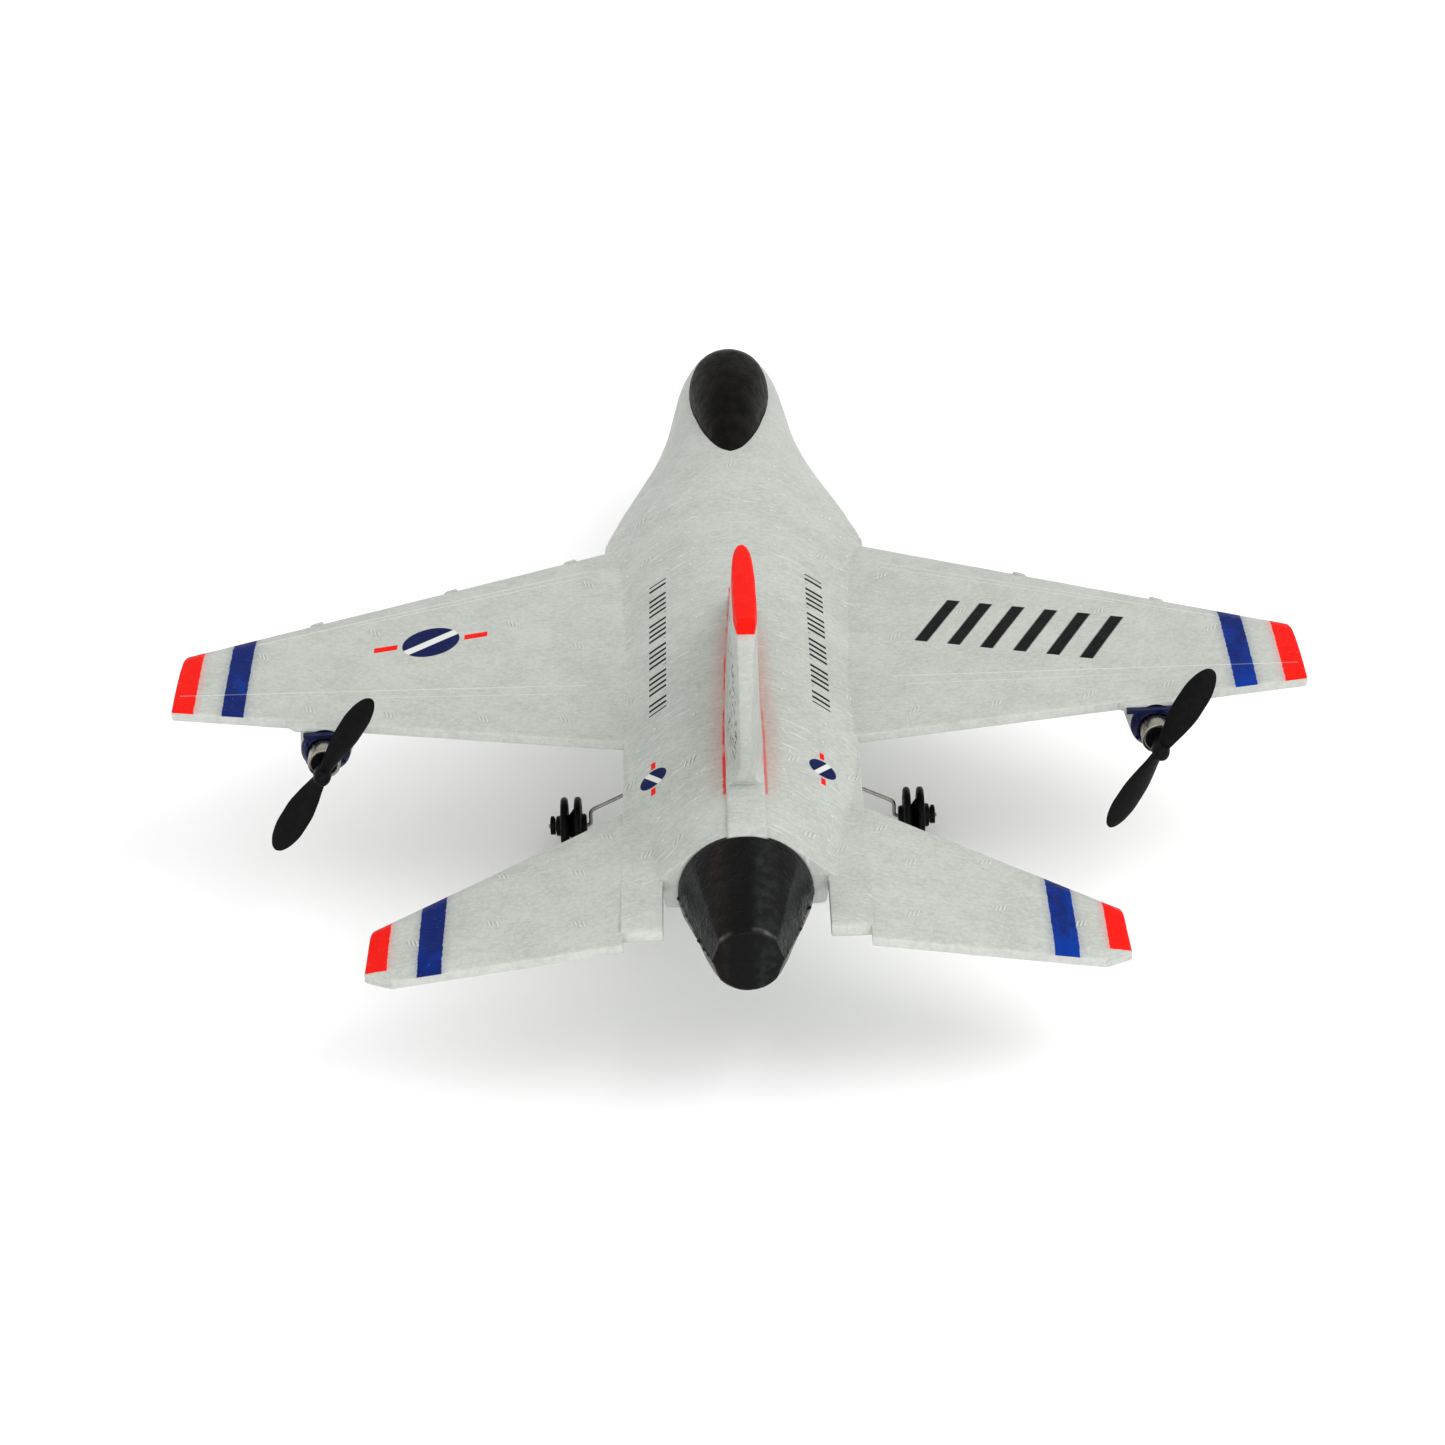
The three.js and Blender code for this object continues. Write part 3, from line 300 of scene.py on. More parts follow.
class Shading:
    """A material under construction: each call adds a node and returns its output."""

    def __init__(self, name):
        self.material = bpy.data.materials.new(name)
        self.material.use_nodes = True
        self.tree = self.material.node_tree
        self.tree.nodes.clear()
        place = self.add("TexCoord").outputs["Object"]
        scale = self.add("VectorMath", {0: place, 3: 1 / MM}, operation="SCALE")
        self.place = scale.outputs[0]
        axes = self.add("SeparateXYZ", {0: self.place})
        self.x, self.y, self.z = axes.outputs

    def add(self, kind, inputs=(), **settings):
        node = self.tree.nodes.new("ShaderNode" + kind)
        for name, value in settings.items():
            setattr(node, name, value)
        for name, value in dict(inputs).items():
            if isinstance(value, bpy.types.NodeSocket):
                self.tree.links.new(value, node.inputs[name])
            else:
                node.inputs[name].default_value = value
        return node

    def math(self, operation, *values):
        return self.add("Math", enumerate(values), operation=operation).outputs[0]

    def absolute(self, value):
        return self.math("ABSOLUTE", value)

    def minus(self, value, other):
        return self.math("SUBTRACT", value, other)

    def sum(self, *values):
        total = values[0]
        for value in values[1:]:
            total = self.math("ADD", total, value)
        return total

    def product(self, *values):
        total = values[0]
        for value in values[1:]:
            total = self.math("MULTIPLY", total, value)
        return total

    def ramp(self, value, low, high, start=0.0, end=1.0):
        """Goes smoothly from start to end as value goes from low to high."""
        inputs = {0: value, 1: low, 2: high, 3: start, 4: end}
        node = self.add("MapRange", inputs, interpolation_type="SMOOTHSTEP")
        return node.outputs[0]

    def fall(self, value, low, high):
        return self.ramp(value, low, high, 1.0, 0.0)

    def facing(self, axis):
        """How squarely the surface faces along an axis, from -1 to 1."""
        normal = self.add("NewGeometry").outputs["Normal"]
        return self.add("SeparateXYZ", {0: normal}).outputs[axis]

    def stretched(self, x, y, z):
        """The place in millimetres, scaled along each axis."""
        node = self.add("VectorMath", {0: self.place, 1: (x, y, z)}, operation="MULTIPLY")
        return node.outputs[0]

    def noise(self, size, detail=2.0, place=None, roughness=0.5):
        """Soft noise from 0 to 1 with features of a size in millimetres."""
        inputs = {"Vector": place or self.place, "Scale": 1 / size, "Detail": detail,
                  "Roughness": roughness}
        return self.add("TexNoise", inputs).outputs[0]

    def cells(self, size, feature="F1", place=None):
        inputs = {"Vector": place or self.place, "Scale": 1 / size}
        return self.add("TexVoronoi", inputs, feature=feature).outputs["Distance"]

    def mix(self, share, first, second):
        inputs = {0: share, 6: first, 7: second}
        return self.add("Mix", inputs, data_type="RGBA").outputs[2]

    def bump(self, height, distance, strength=1.0):
        inputs = {"Height": height, "Distance": distance * MM, "Strength": strength}
        return self.add("Bump", inputs).outputs[0]

    def surface(self, **inputs):
        names = {name.replace("_", " "): value for name, value in inputs.items()}
        shader = self.add("BsdfPrincipled", names)
        self.add("OutputMaterial", {0: shader.outputs[0]})
        return self.material


FOAM_LIGHT = (0.47, 0.49, 0.455, 1)
FOAM_DARK = (0.36, 0.38, 0.35, 1)
FOAM_PALE = (0.62, 0.64, 0.61, 1)
SIGNAL_RED = (0.74, 0.008, 0.004, 1)
DEEP_BLUE = (0.004, 0.014, 0.115, 1)
CLEAR_BLUE = (0.002, 0.03, 0.25, 1)
PRINT_BLUE = (0.004, 0.008, 0.06, 1)
PRINT_BLACK = (0.006, 0.006, 0.006, 1)
SCUFF_GREY = (0.03, 0.03, 0.03, 1)
DUST_RED = (0.55, 0.1, 0.08, 1)
LINE_RED = (0.62, 0.02, 0.015, 1)
FOOT_RED = (0.55, 0.07, 0.05, 1)


def foam_base(m, streaks):
    """Colour and relief of bead foam. Streaks is how strongly it shows the thin
    light lines that the mould leaves across the body. Faces towards the tail are painted paler, as
    painted light."""
    blotches = m.ramp(m.noise(11, 3), 0.3, 0.7)
    beads = m.ramp(m.cells(1.6, "DISTANCE_TO_EDGE"), 0.0, 0.2)
    mottle = m.noise(1.2, 3, m.stretched(0.6, 1.0, 0.6), 0.6)
    grain = m.noise(0.55, 4, m.stretched(0.3, 1.0, 0.3), 0.7)
    shade = m.sum(m.product(blotches, 0.14), m.product(beads, 0.1), m.product(mottle, 0.6),
                  m.product(grain, 0.5))
    color = m.mix(m.ramp(shade, 0.36, 0.9), FOAM_DARK, FOAM_LIGHT)
    bow = m.product(m.x, m.x, 0.011)
    swept = m.add("CombineXYZ", {0: m.product(m.x, 0.1), 1: m.sum(m.y, bow),
                                 2: m.product(m.z, 0.1)}).outputs[0]
    lines = m.ramp(m.noise(0.85, 3, swept, 0.6), 0.565, 0.66)
    patches = m.ramp(m.noise(6, 2, m.stretched(0.7, 1.0, 0.7)), 0.36, 0.56)
    fade = m.ramp(m.y, 35, 62, 1.0, 0.12)
    scratch = m.product(lines, patches, fade, streaks)
    color = m.mix(m.product(scratch, 0.62), color, FOAM_PALE)
    # painted light: faces that look backwards are made paler
    painted_rear_light = m.ramp(m.facing(1), -0.9, -0.6, 0.18, 0.0)
    color = m.mix(painted_rear_light, color, FOAM_PALE)
    height = m.sum(m.product(beads, 0.3), m.product(mottle, 0.35), m.product(grain, 0.3),
                   m.product(scratch, 0.7))
    return color, height


def foam_surface(m, color, height, gloss=0.5):
    rough = m.ramp(m.noise(3.2, 3), 0.3, 0.7, gloss - 0.07, gloss + 0.1)
    normal = m.bump(height, 0.12, 0.8)
    return m.surface(Base_Color=color, Roughness=rough, Normal=normal, Specular_IOR_Level=0.04)


def foam_raised(name, bands=()):
    """The paler skin on pips, vents and mould lines, with thin paint in the bands."""
    m = Shading(f"{name}_raised")
    color = m.mix(m.product(m.noise(0.8, 2), 0.7), FOAM_LIGHT, FOAM_PALE)
    for (low, high), paint in bands:
        color = m.mix(m.product(band(m, m.absolute(m.x), low, high), 0.8), color, paint)
    normal = m.bump(m.noise(0.3, 2), 0.03)
    return m.surface(Base_Color=color, Roughness=0.45, Normal=normal, Specular_IOR_Level=0.1)


def facing_up(m, low=0.35, high=0.6):
    """1 on top, 0 on the sides and underneath."""
    return m.ramp(m.facing(2), low, high)


def ragged(m, value, amount=0.35, size=1.6):
    """A distance with the small wandering of a masked paint edge."""
    wander = m.minus(m.noise(size, 4, roughness=0.7), 0.5)
    return m.sum(value, m.product(wander, amount * 2))


def band(m, distance, low, high, soft=0.12):
    """1 between two limits of a distance, with a paint edge at both."""
    inner = m.ramp(distance, low - soft, low + soft)
    outer = m.fall(distance, high - soft, high + soft)
    return m.product(inner, outer)


def spray(m, color, distance, low, high, paint, where):
    """Paints a sprayed band: a solid core, thin dust beyond its edges."""
    dust = m.product(band(m, distance, low - 0.9, high + 0.9, 1.6), where, 0.4)
    dust = m.product(dust, m.ramp(m.noise(0.5, 2), 0.25, 0.75, 0.4, 1.0))
    color = m.mix(dust, color, paint)
    wear = m.ramp(m.noise(0.8, 3), 0.2, 0.34, 0.7, 1.0)
    core = m.product(band(m, distance, low, high), where, wear)
    return m.mix(core, color, paint)


def blue_paint(m, middle):
    """Blue brushed on unevenly, deeper ahead of a middle place and on the left side."""
    clear = m.sum(m.noise(5, 3, m.stretched(1, 0.5, 1)),
                  m.product(m.minus(m.y, middle), -0.009), m.ramp(m.x, -10, 10, -0.12, 0.14))
    return m.mix(m.ramp(clear, 0.42, 0.8), DEEP_BLUE, CLEAR_BLUE)


def phase(m, along, pitch):
    """The place within a repeated pitch, from 0 to 1. The added whole pitches keep it positive."""
    return m.math("FRACT", m.sum(m.math("DIVIDE", along, pitch), 100))


def bars(m, along, across, mark):
    """A printed row of slanted bars along one axis, each crossing the other axis."""
    skewed = m.sum(along, m.product(across, mark["slant"]))
    edge = mark["share"] / 2
    from_middle = m.absolute(m.minus(phase(m, skewed, mark["pitch"]), 0.5))
    bar = m.fall(from_middle, edge - 0.03, edge + 0.03)
    within = m.fall(m.absolute(skewed), mark["length"], mark["length"] + 0.1)
    side = m.fall(m.absolute(across), mark["half"] - 0.1, mark["half"])
    return m.product(bar, within, side)


def disc(m, color, along, across, size):
    """A printed disc crossed by a pale band, with a red dash before and after it."""
    a, c = m.absolute(along), m.absolute(across)
    reach = m.math("SQRT", m.sum(m.product(along, along), m.product(across, across)))
    solid = m.fall(reach, size * 0.97, size)
    crossing = m.absolute(m.minus(across, m.product(along, 0.6)))
    pale = m.fall(crossing, size * 0.2, size * 0.23)
    dash = m.product(band(m, a, size * 1.15, size * 1.95, 0.08),
                     m.fall(c, size * 0.16, size * 0.18))
    color = m.mix(dash, color, SIGNAL_RED)
    color = m.mix(solid, color, PRINT_BLUE)
    return m.mix(m.product(pale, solid), color, FOAM_PALE)


# Where the paint lies: distances of the bands from the middle, and the printed
# marks' places, sizes and slopes.
WING_RED, WING_BLUE = (139.3, 160), (126.6, 132.2)
TAIL_RED, TAIL_BLUE = (86.5, 120), (73.1, 79.1)
WING_MARK = {"x": -81, "y": -33.6, "slope": 0.4, "size": 7.5}
WING_BARS = {"x": 74.5, "y": -34.8, "slope": -0.42, "slant": -0.42, "pitch": 8.4,
             "share": 0.4, "length": 25.2, "half": 12}
BODY_BARS = {"x": 21, "y": -39, "slant": 0.35, "pitch": 2.6, "share": 0.42, "length": 32.5,
             "half": 2.3, "group": 13}
BODY_MARK = {"x": 21.2, "y": -100.3, "size": 3.4, "offset": 1.0}


def foam_wing():
    """The wings' foam, painted near the tips and printed with a mark on each side."""
    m = Shading("foam_wing")
    color, height = foam_base(m, 0.25)
    up = facing_up(m)
    across = ragged(m, m.absolute(m.x))
    color = spray(m, color, across, *WING_RED, SIGNAL_RED, up)
    color = spray(m, color, across, *WING_BLUE, blue_paint(m, -56), up)
    mark = WING_MARK
    along = m.minus(m.x, mark["x"])
    across = m.minus(m.minus(m.y, mark["y"]), m.product(along, mark["slope"]))
    color = m.mix(up, color, disc(m, color, along, across, mark["size"]))
    mark = WING_BARS
    along = ragged(m, m.minus(m.x, mark["x"]), 0.1, 0.6)
    across = m.minus(m.minus(m.y, mark["y"]), m.product(along, mark["slope"]))
    color = m.mix(m.product(bars(m, along, across, mark), up), color, PRINT_BLACK)
    return foam_surface(m, color, height)


def foam_tail():
    m = Shading("foam_tail")
    color, height = foam_base(m, 0.2)
    across = ragged(m, m.absolute(m.x))
    up = facing_up(m)
    ahead = m.product(up, m.ramp(ragged(m, m.y), -159.3, -158.9))
    color = spray(m, color, across, *TAIL_RED, SIGNAL_RED, ahead)
    color = spray(m, color, across, *TAIL_BLUE, blue_paint(m, -148), up)
    return foam_surface(m, color, height)


def foot_paint(m, color):
    """The red line sprayed along both sides of the fin's foot, nearer the middle ahead."""
    front_share = m.math("DIVIDE", m.sum(m.y, 120), 98)
    width = m.minus(5.2, m.product(front_share, front_share, 2.9))
    aside = m.minus(m.absolute(m.minus(m.x, FIN_OFFSET)), width)
    aside = ragged(m, aside, 0.3, 2.5)
    along = band(m, m.y, -120.5, -20, 0.8)
    strong = m.ramp(m.noise(9, 2, m.stretched(0.2, 1, 0.2)), 0.38, 0.6, 0.25, 1.0)
    strong = m.product(m.math("MAXIMUM", strong, m.fall(m.y, -104, -96)),
                       m.ramp(m.x, FIN_OFFSET - 1, FIN_OFFSET + 1, 0.95, 0.6))
    grain = m.ramp(m.noise(0.6, 3, m.stretched(0.4, 1, 0.4)), 0.2, 0.8, 0.35, 1.0)
    dust = m.product(m.fall(aside, 0.4, 5.5), band(m, m.y, -117, -36, 14), 0.36, grain)
    color = m.mix(dust, color, DUST_RED)
    line = m.product(m.fall(aside, 0.1, 0.55), along, strong)
    return m.mix(line, color, LINE_RED)


def foam_body():
    """The upper body's foam. Each side has a printed row of bars in groups, a disc,
    and red paint along the fin's foot."""
    m = Shading("foam_body")
    color, height = foam_base(m, 1.0)
    up = facing_up(m, 0.1, 0.3)
    side = m.absolute(m.x)
    mark = BODY_BARS
    along = ragged(m, m.minus(m.y, mark["y"]), 0.08, 0.5)
    rows = bars(m, along, m.minus(side, mark["x"]), mark)
    gaps = m.ramp(phase(m, along, mark["group"]), 0.17, 0.18)
    rows = m.product(rows, gaps)
    color = m.mix(m.product(rows, up), color, PRINT_BLACK)
    mark = BODY_MARK
    side = m.absolute(m.sum(m.x, mark["offset"]))
    along, across = m.minus(m.y, mark["y"]), m.minus(side, mark["x"])
    color = m.mix(up, color, disc(m, color, along, across, mark["size"]))
    color = m.mix(up, color, foot_paint(m, color))
    return foam_surface(m, color, height, 0.44)


def foam_fin():
    """The fin's foam: a red cap, dark scuffs on its left side, red dust at its foot."""
    m = Shading("foam_fin")
    color, height = foam_base(m, 0.3)
    cap = m.ramp(ragged(m, m.z, 0.3, 1.3), 113.1, 113.5)
    tinge = m.ramp(m.z, 109.5, 114.5, 0.0, 0.15)
    color = m.mix(tinge, color, SIGNAL_RED)
    dashes = m.noise(1.5, 3, m.stretched(0.3, 1, 1), 0.55)
    low = m.product(m.ramp(m.z, 62, 68), m.fall(m.z, 98, 106))
    left = m.ramp(m.x, FIN_OFFSET - 1.6, FIN_OFFSET - 1.8)
    scuffs = m.product(m.ramp(dashes, 0.555, 0.6), low, left)
    color = m.mix(m.product(scuffs, 0.8), color, SCUFF_GREY)
    foot = m.product(m.fall(ragged(m, m.z, 0.4, 2.0), 59.6, 61.4), m.ramp(m.y, -112, -108))
    color = m.mix(m.product(foot, 0.35), color, FOOT_RED)
    color = m.mix(cap, color, SIGNAL_RED)
    return foam_surface(m, color, height)


def foam_plain():
    m = Shading("foam_plain")
    color, height = foam_base(m, 0.5)
    return foam_surface(m, color, height)


NOZZLE_BLACK = (0.003, 0.003, 0.003, 1)
# painted light on the black nozzle: brown and grey reflections along it, grey sheen on its sides, a
# glint at its rim
NOZZLE_BROWN_REFLECTION = (0.013, 0.008, 0.006, 1)
NOZZLE_GREY_SHEEN = (0.014, 0.015, 0.015, 1)
RIM_GLINT = (0.09, 0.09, 0.085, 1)


def nozzle_lacquer():
    """Wrinkled black with painted reflections: patchy brown and grey stripes along it, a painted
    glint at the upper rim and painted sheen on the flat sides.
    """
    m = Shading("nozzle_lacquer")
    wrinkles = m.noise(2.6, 5, m.stretched(1.0, 0.75, 1.0), 0.62)
    beads = m.ramp(m.cells(2.0, "DISTANCE_TO_EDGE"), 0.0, 0.3)
    # painted reflections: two stripes of light along the wrinkled black, broken up by noise
    patchy = m.ramp(m.noise(2.2, 4), 0.4, 0.7, 0.2, 1.0)
    brown_reflection = m.product(band(m, m.x, -9, -4.5, 1.5), patchy)
    grey_reflection = m.product(band(m, m.x, 2, 7.5, 1.5), patchy)
    color = m.mix(brown_reflection, NOZZLE_BLACK, NOZZLE_BROWN_REFLECTION)
    color = m.mix(grey_reflection, color, NOZZLE_GREY_SHEEN)
    # painted glint: the upper rim made lighter where the reflection stripes reach it
    rim = m.product(band(m, m.y, -169.6, -168.6, 0.3), m.ramp(m.z, 46, 49), m.sum(brown_reflection, grey_reflection))
    color = m.mix(rim, color, RIM_GLINT)
    # painted sheen: the flat sides, which face sideways, are made lighter
    side_sheen = m.ramp(m.absolute(m.facing(0)), 0.7, 0.85)
    color = m.mix(side_sheen, color, NOZZLE_GREY_SHEEN)
    height = m.sum(m.product(wrinkles, 0.9), m.product(beads, 0.25))
    normal = m.bump(height, 0.24, 0.8)
    rough = m.ramp(m.noise(1.8, 3), 0.3, 0.7, 0.2, 0.4)
    return m.surface(Base_Color=color, Roughness=rough, Normal=normal, Specular_IOR_Level=0.07)


def canopy_lacquer():
    m = Shading("canopy_lacquer")
    beads = m.ramp(m.cells(1.5, "DISTANCE_TO_EDGE"), 0.0, 0.25)
    grain = m.noise(0.5, 4)
    height = m.sum(m.product(beads, 0.5), m.product(grain, 0.4))
    cloudy = m.ramp(m.noise(5, 4), 0.35, 0.7)
    color = m.mix(cloudy, (0.003, 0.003, 0.002, 1), (0.008, 0.007, 0.006, 1))
    rough = m.ramp(m.noise(2.2, 3), 0.3, 0.7, 0.42, 0.58)
    return m.surface(Base_Color=color, Roughness=rough, Normal=m.bump(height, 0.09, 0.8),
                     Specular_IOR_Level=0.03)


def plastic(name, color, rough, patchy, shine=0.06):
    """Moulded plastic with a fine grain and slightly worn, paler patches."""
    m = Shading(name)
    patches = m.ramp(m.noise(1.7, 4), 0.42, 0.7)
    shade = m.mix(m.product(patches, 0.6), (*color, 1), (*patchy, 1))
    height = m.sum(m.noise(0.35, 3), m.product(m.noise(1.75, 2), 0.6))
    gloss = m.ramp(m.noise(2.4, 3), 0.3, 0.7, rough - 0.07, rough + 0.1)
    return m.surface(Base_Color=shade, Roughness=gloss, Normal=m.bump(height, 0.03, 0.6),
                     Specular_IOR_Level=shine)


def metal(name, color, rough, lines=(1, 1, 1)):
    """Bare metal with fine lines, longer along an axis where lines has less than 1."""
    m = Shading(name)
    brushed = m.noise(0.12, 3, m.stretched(*lines))
    tarnish = m.ramp(m.noise(2.5, 4), 0.4, 0.75)
    dull = tuple(c * 0.55 for c in color)
    shade = m.mix(m.product(tarnish, 0.6), (*color, 1), (*dull, 1))
    gloss = m.sum(m.ramp(brushed, 0.3, 0.7, rough - 0.06, rough + 0.08), m.product(tarnish, 0.1))
    normal = m.bump(brushed, 0.01, 0.4)
    return m.surface(Base_Color=shade, Metallic=1.0, Roughness=gloss, Normal=normal)


def carbon_strip():
    m = Shading("carbon_strip")
    weave = m.add("TexChecker", {0: m.stretched(1, 1, 1), 3: 1.2}).outputs[1]
    color = m.mix(m.product(weave, 0.7), (0.012, 0.012, 0.014, 1), (0.04, 0.04, 0.045, 1))
    return m.surface(Base_Color=color, Roughness=0.35, Normal=m.bump(weave, 0.02))


BOARD_TOP = 36.6


def circuit_board():
    """Green board with copper tracks, and dark parts above its top."""
    m = Shading("circuit_board")
    tracks = m.cells(0.9, "DISTANCE_TO_EDGE")
    copper = m.fall(tracks, 0.04, 0.08)
    color = m.mix(m.product(copper, 0.6), (0.012, 0.11, 0.035, 1), (0.05, 0.3, 0.09, 1))
    parts = m.ramp(m.z, BOARD_TOP, BOARD_TOP + 0.05)
    color = m.mix(parts, color, (0.015, 0.015, 0.017, 1))
    return m.surface(Base_Color=color, Roughness=0.38, Normal=m.bump(copper, 0.02))


def shrink_film():
    m = Shading("shrink_film")
    creases = m.noise(3.0, 4, m.stretched(1, 0.35, 1), 0.6)
    color = m.mix(m.ramp(creases, 0.35, 0.7), (0.2, 0.24, 0.3, 1), (0.4, 0.44, 0.5, 1))
    return m.surface(Base_Color=color, Metallic=0.5, Roughness=0.32, Normal=m.bump(creases, 0.2))


def floor_paint():
    m = Shading("floor_paint")
    color = m.mix(m.noise(60, 2), (0.93, 0.93, 0.93, 1), (0.95, 0.95, 0.95, 1))
    return m.surface(Base_Color=color, Roughness=0.75, Specular_IOR_Level=0.1,
                     Emission_Color=(1, 1, 1, 1), Emission_Strength=0.05)


# -------------------------------------------------------------- the fuselage

# [y, half width, spine height above the wing plane, dome half width, dome power,
# side height above the parting plane]
UPPER = Rows([
    [170, 1.6, -0.8, 1.6, 0.5, 0.3], [163, 5.0, 1.4, 5.0, 0.5, 0.3],
    [148, 9.2, 5.8, 9.2, 0.5, 0.3], [134, 12.0, 9.8, 12.0, 0.5, 0.3],
    [120, 14.9, 12.2, 14.9, 0.5, 0.3], [105, 17.0, 14.0, 17.0, 0.56, 0.3],
    [92, 18.8, 15.0, 18.8, 0.65, 0.5], [80, 21.4, 15.4, 21.4, 0.8, 0.9],
    [68, 25.0, 15.4, 25.0, 1.05, 1.4], [56, 28.6, 15.2, 28.6, 1.25, 1.9],
    [42, 32.5, 14.8, 32.5, 1.35, 2.4], [25, 35.8, 14.3, 35.0, 1.35, 3.0],
    [-20, 33.2, 13.5, 33.0, 1.25, 3.3], [-76, 30.0, 12.6, 30.0, 1.1, 3.0],
    [-106, 30.0, 12.4, 27.0, 1.05, 2.2], [-125, 30.0, 12.4, 23.0, 1.1, 2.0],
    [-139.5, 30.0, 12.4, 22.0, 1.25, 2.0],
])
# [y, belly half width, depth below the parting plane, boxiness and collar from 0 to 1]
LOWER = Rows([
    [170, 1.2, 1.4, 0, 0], [163, 4.4, 5.0, 0, 0], [148, 8.4, 8.6, 0, 0], [134, 11.2, 10.4, 0, 0],
    [120, 14.0, 11.4, 0.1, 0], [105, 16.0, 12.0, 0.3, 0], [92, 17.0, 12.4, 0.5, 0],
    [81, 17.4, 12.8, 0.6, 0], [77, 16.0, 19.6, 0.9, 0], [70, 17.4, 20.0, 1, 0],
    [-60, 17.4, 20.0, 1, 0], [-102, 18.4, 19.8, 0.6, 0], [-122, 19.2, 18.2, 0.45, 0.3],
    [-139.5, 20.0, 14.9, 0.3, 1],
])
BELLY_ROUND = Rows([[0, 1, 0.06], [1, 0.97, 0.3], [2, 0.87, 0.52], [3, 0.71, 0.73],
                    [4, 0.5, 0.9], [5, 0.3, 1], [6, 0, 1]])
BELLY_BOX = Rows([[0, 1, 0.14], [1, 1, 0.45], [2, 0.96, 0.7], [3, 0.86, 0.9],
                  [4, 0.7, 0.985], [5, 0.52, 1], [6, 0, 1]])
COLLAR = Rows([[0, 1, 0.05], [1, 0.97, 0.3], [2, 0.72, 0.34], [3, 0.62, 0.62],
               [4, 0.46, 0.85], [5, 0.24, 1], [6, 0, 1]])
DROOP = {"start": 122, "end": 170, "depth": 8.2, "power": 1.4}
NOSE_ROUNDING, END_ROUNDING = 2.0, 0.5
PRONG = {"inner": 20, "outer": 30, "rear": -161, "low": 42, "high": 46}


def half_width(y):
    return UPPER(y)[0]


def upper_skin(x, y):
    """Height of the body's upper skin."""
    width, spine, dome, power, side = UPPER(y)
    rise = WING_PLANE + spine - PARTING - side
    reach = np.clip(np.abs(x) / np.minimum(dome, width), 0, 1)
    height = PARTING + side + rise * (1 - reach ** 2) ** power
    rim = np.minimum(np.where(np.asarray(y) > 28, 1.1, 0.3), side * 0.7)
    beyond = np.clip((np.abs(x) - (width - rim)) / rim, 0, 1)
    return height - rim * (1 - np.sqrt(1 - beyond ** 2))


def drooped(ring):
    """Lowers a ring of the nose, which droops towards its tip."""
    ring = np.array(ring, float)
    share = np.maximum(0, (ring[:, 1] - DROOP["start"]) / (DROOP["end"] - DROOP["start"]))
    ring[:, 2] -= DROOP["depth"] * share ** DROOP["power"]
    return ring


def body_stations():
    """(y, size, inset) of each ring, from a rounded nose tip to a softened rear edge."""
    front, rear = UPPER.place[-1], UPPER.place[0]
    nose = [(front - NOSE_ROUNDING * back, out, 0) for out, back in quarter_turn(0.12, 9)]
    middle = [(y, 1, 0) for y in np.linspace(front - NOSE_ROUNDING - 1.5, rear + 1.5, 190)]
    end = [(rear + END_ROUNDING * (1 - out), 1, END_ROUNDING * back)
           for out, back in quarter_turn(0, 5)]
    return nose + middle + end


def sized(ring, base, size, inset):
    """Shrinks a flat ring towards the point at height base on the middle line."""
    ring = np.array(ring, float)
    width = np.abs(ring[:, 0]).max()
    depth = np.abs(ring[:, 2] - base).max()
    ring[:, 0] *= size * (1 - inset / width)
    ring[:, 2] = base + (ring[:, 2] - base) * size * (1 - inset / depth)
    return ring


def upper_ring(y, size, inset):
    width = float(half_width(y))
    floor = PARTING + 0.02
    x = np.sin(np.linspace(1, -1, 95) * math.pi / 2) * width
    skin = [(px, y, float(pz)) for px, pz in zip(x, upper_skin(x, np.full_like(x, y)))]
    ring = [(width, y, floor), *skin, (-width, y, floor)]
    return drooped(sized(ring, floor, size, inset))


def lower_ring(y, size, inset):
    width = float(half_width(y))
    belly_width, depth, boxiness, collar = map(float, LOWER(y))
    top = PARTING - 0.02
    side = min(2, depth * 0.25)
    belly_top = PARTING - side
    steps = np.linspace(0, 6, 34)
    curve = (1 - boxiness) * BELLY_ROUND(steps) + boxiness * BELLY_BOX(steps)
    curve += collar * (COLLAR(steps) - curve)
    belly = [(cx * belly_width, y, belly_top - cz * (depth - side)) for cx, cz in curve.T]
    shelf = [(width, y, top), (width, y, belly_top + 0.5), (width - 0.5, y, belly_top)]
    right = [*shelf, *belly[:-1]]
    left = [(-px, py, pz) for px, py, pz in reversed(right)]
    return drooped(sized([*right, belly[-1], *left], top, size, inset))


# ------------------------------------------------------------ fin and canopy

FIN = {
    "root_front": -22, "root_rear": -118, "tip_front": -104, "tip_rear": -140.4,
    "root_z": 53, "skin_z": 59, "tip_z": 118.5, "fillet": 2.5, "tip_rounding": 0.9,
    "block_half": 4.8, "block_front": -112, "block_rear": -141, "block_top": 59.2,
}
FIN_OFFSET = 0.7         # the fin stands a little right of the middle
FIN_LEAN = 1.1           # and its tip leans further right
FIN_YAW = 0.012          # and its tip turns a little, this far per unit of chord
# [height above the skin from 0 to 1, thickness, rear thickness]
FIN_THICKNESS = Rows([[-0.1, 9.6, 9.2], [0, 9.6, 9.2], [0.02, 9.3, 6.6], [0.05, 8.8, 4.2],
                      [0.1, 8.5, 2.8], [0.16, 8.2, 2.6], [1, 5.4, 4.4]])
FIN_FOOT = [[0.2, 1], [0.45, 0.92], [0.65, 0.8], [0.82, 0.62]]
FIN_TIP = [[0.2, 1], [0.45, 1], [0.65, 0.96], [0.82, 0.84]]


